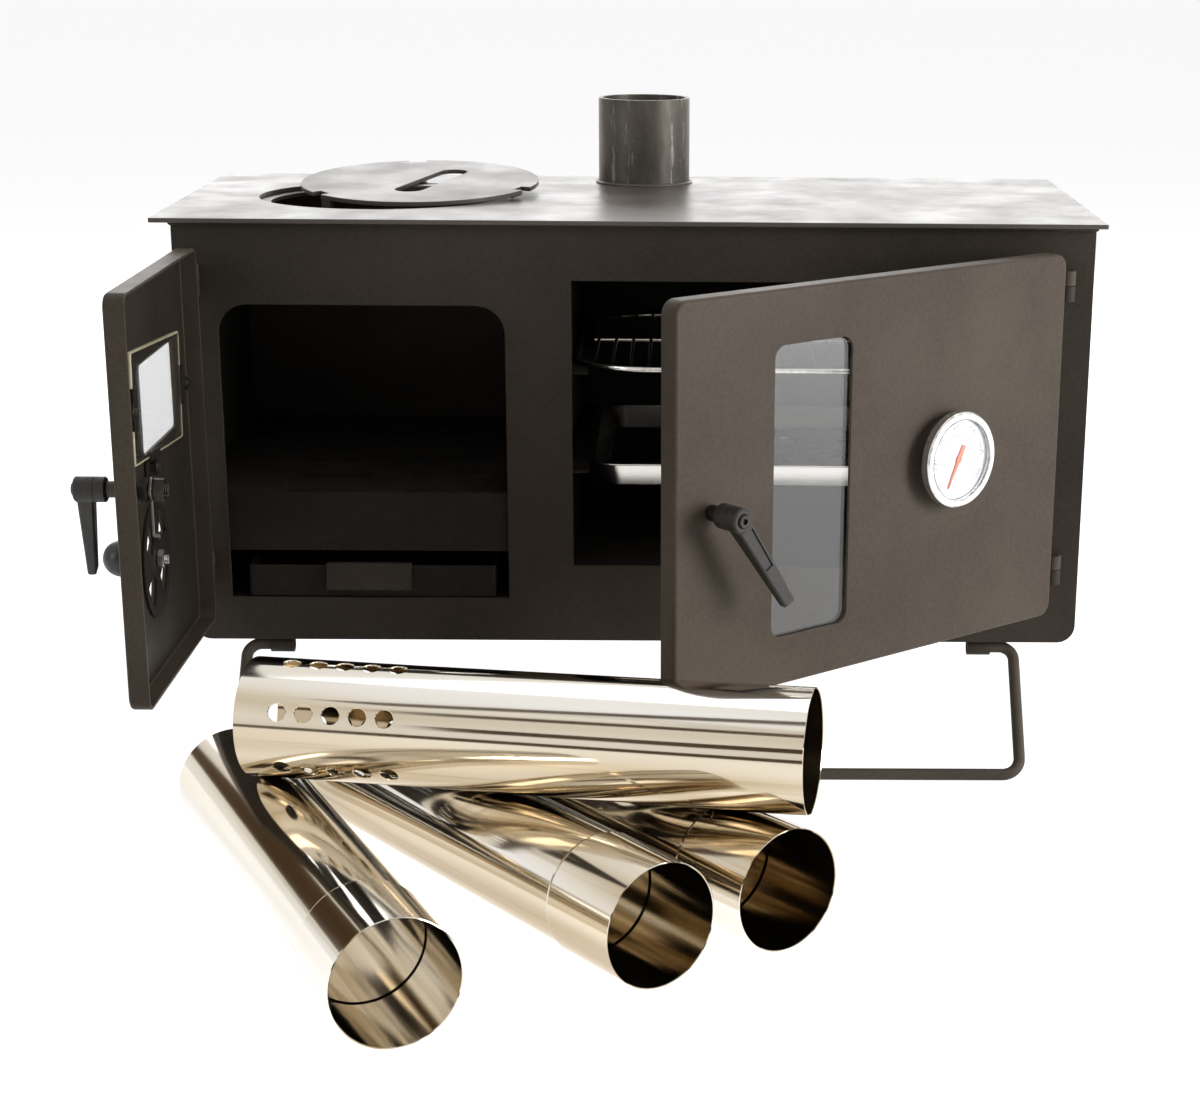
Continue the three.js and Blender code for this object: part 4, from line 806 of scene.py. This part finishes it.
def latch(word, side, x, y, turn, where, body):
    at = where @ move(side * x, y, 0)
    hub = soften([(4.3, 9.3), (6.9, 9.3), (7.6, 10.0), (7.6, 15.6), (7.35, 15.8), (7.35, 16.2), (7.6, 16.4),
                  (7.6, 27.3), (6.6, 28.3), (4.3, 28.3), (4.3, 25.5), (4.3, 18.6)],
                 [0.1, 0.4, 0.4, 0.1, 0.1, 0.1, 0.1, 0.5, 0.5, 0.2, 0.1, 0.1], 3)
    swing = spin(-side * turn, "Z")
    piece(f"{word}_lever_casting", [placed(p, swing) for p in (lathe(hub, 48), lever_arm())],
          at, body, lever_casting, f"{word}_lever", 40)
    screw = [(0, 18.6), (1.7, 18.6), (1.7, 25.8), (4, 25.8), (4, 29.2), (3.4, 29.8), (2.3, 29.8)]
    count = 24
    points, faces, _ = lathe(screw, count, False)
    rows = [list(range(len(points) - count, len(points)))]
    turns = [2 * pi * k / count for k in range(count)]
    for z in (29.7, 27.8):
        hexagon = [(*polar(1.73 / cos(a % (pi / 3) - pi / 6), a), z) for a in turns]
        rows.append(put(points, hexagon))
    faces += strips(rows) + [tuple(rows[-1])]
    piece(f"{word}_lever_socket_screw", [untagged(points, faces)], at, body, dark_nut,
          f"{word}_lever_screw", 40)
    neck = soften([(0, -2.2), (4, -2.2), (4, 0.3), (4.9, 0.3), (4.9, 9.0), (4, 9.0), (4, 18.3), (0, 18.3)],
                  [0, 0, 0, 0.4, 0.4, 0, 0.3, 0], 3, False)
    upper = nut(7.5, -15.8, -9.4, 4.0, 0.4)
    piece(f"{word}_spindle_bolt", [lathe(neck, 40, False), thread(4, -27.5, -2.2), upper], at, body,
          dark_nut, f"{word}_spindle", 30)
    strip = soften([(-4, -16.1), (-28, -16.1), (-28, -21.1), (-26, -21.1), (-26, -18.1), (-4, -18.1)],
                   [0, 1.8, 0.4, 0.4, 0.6, 0], 4)
    # The strip lies along -y with its foot turned inwards
    strip_part = placed(sheet(strip, [], -4, 4, 0.4), ACROSS, 0)
    eye = sheet(circle(0, 0, 7.2, 40), [circle(0, 0, 4.3, 40)], -18.1, -16.1, 0.4)
    piece(f"{word}_tongue_strip", [strip_part, eye], at, body, tongue_steel,
          f"{word}_latch_tongue", 40)
    piece(f"{word}_lock_nut", [nut(7.5, -24.8, -18.4, 4.3, 0.1)], at, body, dark_nut,
          f"{word}_latch_nut", 30)


latch("fire", 1, 184, 150, 28, FIRE, "fire_latch")
latch("oven", -1, 305, 142, 33, OVEN, "oven_latch")

# Air control
AIR = FIRE @ move(*AIR_CENTRE, 0)
disc = sheet(circle(0, 0, 36.5, 96), [circle(0, 0, 3.3, 24)] + [air_sector(i, 13, 30) for i in range(4)],
             -3.8, -2.3, 0.3)
piece("air_disc_sheet", [disc], AIR, "air_control", soot_paint, "air_disc")
knob = [(3.3, 0.3), (6.2, 0.3), (5.4, 2.0), (5.0, 5.2), (5.4, 7.0)]
for k in range(13):
    a = radians(-38 + 128 * k / 12)
    knob.append((11.3 * cos(a) if a < radians(89.9) else 0.0, 18.7 + 11.3 * sin(a)))
knob[-1] = (0.0, 30.0)
knob += [(0, 17), (3.3, 17)]
piece("air_knob_ball", [lathe(knob, 48)], AIR, "air_control", knob_moulding, "air_knob", 40)
bolt = [thread(3, -11, 0, 1.0, 0.45), rod(3, -0.2, 16.7), nut(6, -8.1, -4.1, 3, 0.5)]
piece("air_bolt_screw", bolt, AIR, "air_control", zinc, "air_bolt", 30)

# Thermometer
DIAL = OVEN @ move(*DIAL_CENTRE, 0)
case = soften([(0, 0.3), (24, 0.3), (24, 3.6), (28.5, 5.5), (30.5, 6.7), (30.5, 12.0), (29.3, 13.2),
               (26.3, 13.2), (25.6, 12.6), (25.6, 8.2), (0, 8.2)],
              [0, 0.5, 0.6, 0.6, 0.5, 0.7, 0.7, 0.3, 0.2, 0.2, 0], 4, False)
case_parts = [lathe(case, 128, False), rod(4, -18, 3.6), rod(2.5, -48, 0, edge=1.2)]
piece("thermometer_body", case_parts, DIAL, "oven_door", bezel_steel,
      "thermometer_case", 30)
piece("thermometer_plate", [rod(25.3, 8.5, 9.1, edge=0.1, segments=96)], DIAL, "oven_door", dial_face,
      "thermometer_dial")
lens = piece("thermometer_window", [rod(25.3, 11.4, 12.6, edge=0.2, segments=96)], DIAL, "oven_door",
             lens_glass, "thermometer_lens", 30)
lens.visible_shadow = False
piece("thermometer_lock_nut", [nut(8, -6.3, -2.3, 4.3)], DIAL, "oven_door", zinc,
      "thermometer_nut", 30)
needle_loop = [Vector(p) for p in ((-1.6, 9.5), (-1.6, 0), (-0.45, -20), (0.45, -20), (1.6, 0), (1.6, 9.5))]
needle_parts = [sheet(needle_loop, [], 9.4, 10.0, 0.1), rod(2.4, 9.4, 10.3, edge=0.2)]
piece("thermometer_hand", [placed(p, spin(-26.5, "Z"), 0) for p in needle_parts], DIAL, "needle",
      needle_red, "thermometer_needle")


def words(text, size, x, y, turn=0.0):
    curve = bpy.data.curves.new("figures", "FONT")
    curve.body = text
    curve.size = size
    curve.align_x = "CENTER"
    curve.align_y = "CENTER"
    holder = bpy.data.objects.new("figures", curve)
    flat = holder.to_mesh()
    where = move(x, y, 9.13) @ spin(turn, "Z")
    points = [tuple(where @ v.co) for v in flat.vertices]
    faces = [tuple(p.vertices) for p in flat.polygons]
    holder.to_mesh_clear()
    bpy.data.objects.remove(holder)
    bpy.data.curves.remove(curve)
    return untagged(points, faces)


def tick(angle, r0, r1, width):
    a = radians(angle)
    along = Vector((cos(a), sin(a), 0))
    across = Vector((-sin(a), cos(a), 0)) * width / 2
    up = Vector((0, 0, 9.13))
    corners = ((r0, -1), (r1, -1), (r1, 1), (r0, 1))
    return [tuple(up + along * r + across * s) for r, s in corners], [(0, 1, 2, 3)], [0]


def dial_angle(value):
    return 98 - (value - 400) * 0.43


marks = []
outer_figures = [(v, v, 5.0, 20.6) for v in range(100, 800, 100)]
inner_figures = [(v, v * 1.8 + 32, 2.9, 12.0) for v in range(50, 400, 50)]
for value, fahrenheit, size, r in outer_figures + inner_figures:
    turn = dial_angle(fahrenheit)
    marks.append(words(str(value), size, *polar(r, radians(turn)), turn - 90))
for value in range(100, 701, 10):
    big = value % 100 == 0
    marks.append(tick(dial_angle(value), 15.6, 17.9 if big else 16.7, 0.5 if big else 0.22))
for value in range(40, 371, 10):
    big = value % 50 == 0
    marks.append(tick(dial_angle(value * 1.8 + 32), 14.0 if big else 14.5, 15.2, 0.4 if big else 0.2))
arcs = []
for k in range(130):
    a0, a1 = (radians(dial_angle(100 + 600 * t / 130)) for t in (k, k + 1))
    quad = [(*polar(r, a), 9.13) for r, a in ((15.2, a0), (15.55, a0), (15.55, a1), (15.2, a1))]
    arcs.append((quad, [(0, 1, 2, 3)], [0]))
piece("thermometer_figures", marks + arcs, DIAL, "oven_door", dial_ink, (), 30, False)

# Ash tray
ash_rings = []
for d, z in ((1.6, 30.2), (0.5, 30.5), (0.1, 31.4), (0, 52.0), (0.3, 52.2), (1.2, 52.2), (1.5, 52.0),
             (1.6, 32.6), (2.0, 31.8), (3.0, 31.7)):
    r = max(0.6, 2.2 - d)
    ash_rings.append([(p.x, p.y, z) for p in rounded(-258.5 + d, -91.5 - d, 1 + d, 226 - d, r, 4)])
piece("ash_pan", [loft(ash_rings)], ROW, "ash_drawer", soot_paint, "ash_tray", 40)
handle = soften([(0.7, 52.5), (2.8, 52.5), (2.8, 44.5), (4.3, 44.5), (4.3, 54.0), (-0.8, 54.0),
                 (-6.8, 36.7), (-5.3, 36.7)], [0.5, 0.5, 0.4, 0.4, 1.6, 1.4, 0.4, 0.4], 3)
handle_part = placed(sheet(handle, [], -205.75, -148.25, 0.4), ACROSS, 0)
piece("ash_handle_strip", [handle_part], ROW, "ash_drawer", body_paint, "ash_tray_handle", 40)


# Lid
def lid_loop():
    loop = []
    turns = [97, 217, 337]
    half = degrees(asin(6 / 83.3))
    for i, turn in enumerate(turns):
        for r, s in ((83.08, -6), (76.3, -6), (76.3, 6), (83.08, 6)):
            a = radians(turn)
            loop.append(Vector((r * cos(a) - s * sin(a), r * sin(a) + s * cos(a))))
        start, end = turn + half, turns[(i + 1) % 3] + (360 if i == 2 else 0) - half
        for k in range(1, 40):
            a = radians(start + (end - start) * k / 40)
            loop.append(Vector((83.3 * cos(a), 83.3 * sin(a))))
    return loop


def slot_loop(length, width, turn, x):
    ring = rounded(-length / 2, length / 2, -width / 2, width / 2, width / 2 - 0.01, 10)
    c, s = cos(radians(turn)), sin(radians(turn))
    return [Vector((p.x * c - p.y * s + x, p.x * s + p.y * c)) for p in ring]


lid_parts = [sheet(lid_loop(), [slot_loop(92, 20, 70, 8)], -3, 0, 0.4)]
for turn, length in ((97, 10.4), (217, 10.4), (337, 3.1)):
    tab = block(73.3, 76.3, -6, 6, -3 - length, -0.6, 0.4)
    lid_parts.append(placed(tab, spin(turn, "Z"), 0))
piece("hob_lid_disc", lid_parts, LID, "lid", plate_paint, "hob_lid")
piece("hob_lid_strap", [block(-21, 37, -4.5, 4.5, -6.3, -3.3, 0.5, 1.0)], LID, "lid", plate_paint,
      "hob_lid_bar")

# Oven rack and baking tray
rack_rim = rounded(-37.0, 257.3, 5, 237, 52, 14)
rack_parts = [tube([(p.x, p.y, 186) for p in rack_rim], 2, 12, True)]
for i in range(1, 24):
    x = -37.0 + 294.3 * i / 24
    inside = max(52 - min(x + 37.0, 257.3 - x), 0)
    bow = 52 - sqrt(52 ** 2 - inside ** 2)
    ends = (5 + bow - 0.8, 5 + bow + 3, 237 - bow - 3, 237 - bow + 0.8)
    path = [(x, y, 186.3) for y in ends]
    rack_parts.append(tube(path, [1.5, 1.2, 1.2, 1.5], 10))
rack_parts.append(tube([(-28.4, 132.6, 184.6), (248.7, 132.6, 184.6)], 1.6, 12))
piece("oven_wire_rack", rack_parts, ROW, "rack", wire_steel, "oven_rack", 40, False)
bake_rings = []
for d, z, r in (
    (15.0, 101.5, 10), (13.2, 102.0, 12), (6.4, 117.3, 19), (5.6, 117.4, 20), (0.5, 117.4, 24.5),
    (0, 117.9, 25), (0.3, 118.4, 24.7), (1.0, 118.5, 24), (5.2, 118.5, 20), (6.2, 118.2, 19),
    (13.4, 103.6, 12), (15.4, 102.7, 10),
):
    bake_rings.append([(p.x, p.y, z) for p in rounded(-31.6 + d, 251.9 - d, 20 + d, 236 - d, r, 10)])
dish = loft(bake_rings)
dish[2][-1] = 1
piece("baking_dish", [dish], ROW, "tray", [tray_steel, tray_bottom], "baking_tray", 40)


# Legs
def leg(slope, y):
    reach = hypot(65, 70.3)
    toward = Vector((0, slope * 65 / reach, -70.3 / reach))
    flat = [(243, 0), (263, 0), (263, reach), (-263, reach), (-263, 0), (-243, 0)]
    path = soften([(x, a, 0) for x, a in flat], 12, 8, False)
    return [toward * p.y + Vector((p.x, y, -5.8)) for p in path]


# The legs wear the lighter copy of the body paint, which is painted light.
for name, slope, y, body in (("front_leg", -1, 9, "leg_front"), ("rear_leg", 1, 259, "leg_rear")):
    bar = tube(leg(slope, y), 3.97, 20)
    piece(name + "_bar", [bar], ROW, body, lit_leg_paint, name, 50, False)


# Flue sections: length and largest radius, and profiles from the socket to the plain end
FLUE_LENGTH, FLUE_RADIUS = 329.8, 36.2
PILE_X, PILE_Y, PILE_HEADING = 108.4, -315.4, 167.8
HOLE_TURN = 53.5
SOCKET = [(35.75, 0.0), (36.15, 0.25), (36.15, 0.8)]
SWAGE = [(36.12, 54.5), (36.3, 55.6), (36.0, 56.6), (35.2, 58.4), (34.98, 61.0), (35.0, 64.0)]
SPIGOT = [(34.99, 329.0), (34.85, 329.6), (34.35, 329.75)]
BORE = [(34.2, 329.6), (34.2, 64.0), (34.2, 61.0), (34.4, 58.4), (35.2, 56.6), (35.35, 54.5), (35.35, 0.4)]
HOLES_LOW, HOLES_HIGH, HOLE_PITCH = 231.8, 311.8, 16
ROUND = 144


def flue(name, x, y, z, heading, dip, body, stuff, drilled=False):
    """One section; the drilled one tapers smoothly and has six rows of five holes."""
    where = ROW @ move(x, y, z) @ spin(heading, "Z") @ spin(90 + dip, "Y")
    points = []

    def ring(r, z0):
        turns = [2 * pi * k / ROUND + radians(HOLE_TURN) for k in range(ROUND)]
        return put(points, [(*polar(r, a), z0) for a in turns])

    front = [ring(*p) for p in (SOCKET if drilled else SOCKET + SWAGE)]
    back = [ring(*p) for p in BORE]
    faces = strips(front) + strips(back[1:]) + bridge(back[-1], front[0])
    if not drilled:
        faces += strips(front[-1:] + [ring(*p) for p in SPIGOT] + back[:2])
        return finish_flue(name, points, faces, where, body, stuff)
    for r, size, outside in ((34.99, 5.65, True), (34.2, 5.25, False)):
        first = ring(r, HOLES_LOW)
        last = ring(r, HOLES_HIGH)
        if outside:
            faces += bridge(front[-1], first)
            faces += strips([last] + [ring(*p) for p in SPIGOT] + back[:1])
        else:
            faces += bridge(first, back[1]) + bridge(back[0], last)
        for middle, z_mid in hole_places():
            faces += hole_surround(points, r, size, middle, z_mid)
    for middle, z_mid in hole_places():
        rings = []
        for r, size in ((34.2, 5.25), (34.7, 5.25), (34.99, 5.65)):
            edge = [(size * cos(a), size * sin(a)) for a in map(hole_angle, hole_border())]
            rings.append(put(points, [(*polar(r, middle + x / r), z_mid + z) for x, z in edge]))
        faces += strips(rings)
    return finish_flue(name, points, faces, where, body, stuff)


def hole_places():
    for row in range(6):
        for i in range(5):
            yield radians(HOLE_TURN + 60 * row), HOLES_LOW + HOLE_PITCH * (i + 0.5)


def hole_border():
    """A frame round one hole, as degrees round the tube and distance along it."""
    across, tall, half = ROUND // 6, 8, HOLE_PITCH / 2
    border = [(-30 + 60 * k / across, -half) for k in range(across)]
    border += [(30, -half + HOLE_PITCH * k / tall) for k in range(tall)]
    border += [(30 - 60 * k / across, half) for k in range(across)]
    border += [(-30, half - HOLE_PITCH * k / tall) for k in range(tall)]
    return border


def hole_angle(place_on_border):
    u, v = place_on_border
    return atan2(v * 2.2, radians(u) * 35)


def hole_surround(points, r, size, middle, z_mid):
    """The wall between a hole's frame and the hole."""
    rows = []
    for share in (0.0, 0.3, 0.55, 0.75, 0.9, 1.0):
        ring = []
        for u, v in hole_border():
            arc = radians(u) * r
            a = hole_angle((u, v))
            x = arc + (size * cos(a) - arc) * share
            ring.append((*polar(r, middle + x / r), z_mid + v + (size * sin(a) - v) * share))
        rows.append(put(points, ring))
    return strips(rows)


def finish_flue(name, points, faces, where, body, stuff):
    """The tube with true round normals on its walls, and plain ones on its rims and folds."""
    tube_part = untagged(points, faces)
    thing = piece(name + "_tube", [tube_part], where, body, stuff, name, 32, False)
    mesh = thing.data
    back = where.inverted()
    turn = where.to_3x3().normalized()
    locals_ = [back @ v.co for v in mesh.vertices]
    normals = [Vector((0, 0, 0))] * len(mesh.loops)
    for polygon in mesh.polygons:
        for i in polygon.loop_indices:
            p = locals_[mesh.loops[i].vertex_index]
            out = (turn @ Vector((p.x, p.y, 0))).normalized()
            facing = polygon.normal.dot(out)
            if abs(facing) > 0.97:
                normals[i] = out if facing > 0 else -out
    mesh.normals_split_custom_set(normals)
    return thing


# Where each lower section crosses the upper one, as shares of both their lengths
for word, upper_share, lower_share, heading in (
    ("left", 0.97939, 0.7284, 114),
    ("middle", 0.52612, 0.42927, 127.2),
    ("right", 0.12832, 0.1332, 129.2),
):
    up, down = radians(PILE_HEADING), radians(heading)
    over, along = FLUE_LENGTH * upper_share, FLUE_LENGTH * lower_share
    x = PILE_X + over * cos(up) - along * cos(down)
    y = PILE_Y + over * sin(up) - along * sin(down)
    metal = flue_metal("flue_steel_" + word, (0, 0, heading))
    flue("flue_section_" + word, x, y, -80.08 + FLUE_RADIUS, heading, 0, "flue_" + word, metal)
dip = atan2(2 * 1.2, FLUE_LENGTH - 57 - 26)
upper_z = -80.1 + 3 * FLUE_RADIUS + 0.3 + 57 * sin(dip)
flue("flue_section_perforated", PILE_X, PILE_Y, upper_z, PILE_HEADING, degrees(dip), "flue_perforated",
     flue_metal("flue_steel_perforated", (0, 0, PILE_HEADING)), True)

# Camera fitted to the photograph
focal, px, py = 2445.8432, 717.8432, 701.7002
pitch, roll, yaw = 0.3129, -0.0092, 0.0157
forward = Vector((sin(yaw) * cos(pitch), cos(yaw) * cos(pitch), -sin(pitch)))
right = Vector((cos(yaw), -sin(yaw), 0))
down = forward.cross(right)
across = right * cos(roll) + down * sin(roll)
below = down * cos(roll) - right * sin(roll)
camera = bpy.data.cameras.new("camera")
camera.sensor_fit = "HORIZONTAL"
camera.sensor_width = 36
camera.lens = focal * 36 / 1200
camera.shift_x = (600 - px) / 1200
camera.shift_y = (py - 558.5) / 1200
camera.clip_start = 0.05
camera.clip_end = 60
eye = linked("camera", camera)
turn = Matrix((across, -below, -forward)).transposed().to_4x4()
eye.matrix_world = Matrix.Translation((0.04173, -1.52892, 0.55607)) @ turn
scene.camera = eye


# Light, background and floor
def aim(thing, where, target):
    thing.location = where
    thing.rotation_euler = (Vector(target) - Vector(where)).to_track_quat("-Z", "Y").to_euler()
    thing.visible_camera = False


def quad_mesh(name, w, h, stuff):
    mesh = bpy.data.meshes.new(name)
    mesh.from_pydata([(-w / 2, -h / 2, 0), (w / 2, -h / 2, 0), (w / 2, h / 2, 0), (-w / 2, h / 2, 0)],
                     [], [(0, 1, 2, 3)])
    mesh.materials.append(stuff)
    return mesh


def seen_rays(tree):
    """One for the rays that show the surroundings: direct, mirrored or through glass."""
    path = node(tree, "LightPath").outputs
    seen = add(tree, path["Is Camera Ray"], path["Is Glossy Ray"], "MAXIMUM")
    return add(tree, seen, path["Is Transmission Ray"], "MAXIMUM")


def lamp(name, where, target, size, power):
    light = bpy.data.lights.new(name, "AREA")
    light.shape = "RECTANGLE"
    light.size, light.size_y = size
    light.energy = power
    aim(linked(name, light), where, target)


lamp("left_box", (-2.0, -1.4, 1.0), (0, 0, 0.15), (0.9, 1.1), 9)
lamp("right_box", (2.3, -0.75, 0.7), (0.1, 0, 0.2), (1.0, 1.2), 42)
lamp("top_box", (0.3, 0.5, 2.3), (0, 0, 0.2), (2.2, 1.6), 14)
lamp("back_box", (0, 2.4, 0.95), (0, 0, 0.3), (3.6, 1.4), 31)


def card(name, where, size):
    """A dark board that only the metal reflects, facing the pile of flue sections."""
    board = linked(name, quad_mesh(name, *size, brown))
    aim(board, where, (-0.05, -0.25, 0.06))
    board.visible_diffuse = False
    board.visible_shadow = False
    board.visible_transmission = False


brown = material("board_brown", linear(92, 70, 44), 0.0, 0.9)[0]
for word, where, size in (
    ("high", (0.1, -0.6, 1.6), (2.4, 0.16)),
    ("middle", (0.0, -1.9, 1.9), (2.8, 0.26)),
    ("front", (0.2, -2.2, 0.8), (3.2, 0.3)),
    ("low", (0.0, -1.6, 0.05), (2.6, 0.22)),
    ("left", (-1.9, -0.5, 0.5), (0.5, 1.2)),
    ("left_back", (-1.5, 1.0, 0.75), (0.5, 0.9)),
    ("right", (1.9, -0.3, 0.5), (0.5, 1.1)),
):
    card("board_" + word, where, size)

world = bpy.data.worlds.new("studio")
scene.world = world
world.use_nodes = True
tree = world.node_tree
background = tree.nodes["Background"]
background.inputs["Color"].default_value = (1, 1, 1, 1)
strength = add(tree, add(tree, seen_rays(tree), 0.92, "MULTIPLY"), 0.08)
tree.links.new(strength, background.inputs["Strength"])

paper = bpy.data.materials.new("floor_paper")
paper.use_nodes = True
tree = paper.node_tree
tree.nodes.clear()
target = node(tree, "OutputMaterial")
matt = node(tree, "BsdfDiffuse", Color=(0.8, 0.8, 0.8, 1))
glow = node(tree, "Emission")
tree.links.new(add(tree, seen_rays(tree), 0.88, "MULTIPLY"), glow.inputs["Strength"])
both = node(tree, "AddShader")
tree.links.new(matt.outputs[0], both.inputs[0])
tree.links.new(glow.outputs[0], both.inputs[1])
tree.links.new(both.outputs[0], target.inputs["Surface"])
floor = linked("floor", quad_mesh("floor", 80, 80, paper))
floor.location.z = -0.0002

scene.view_settings.view_transform = "Standard"
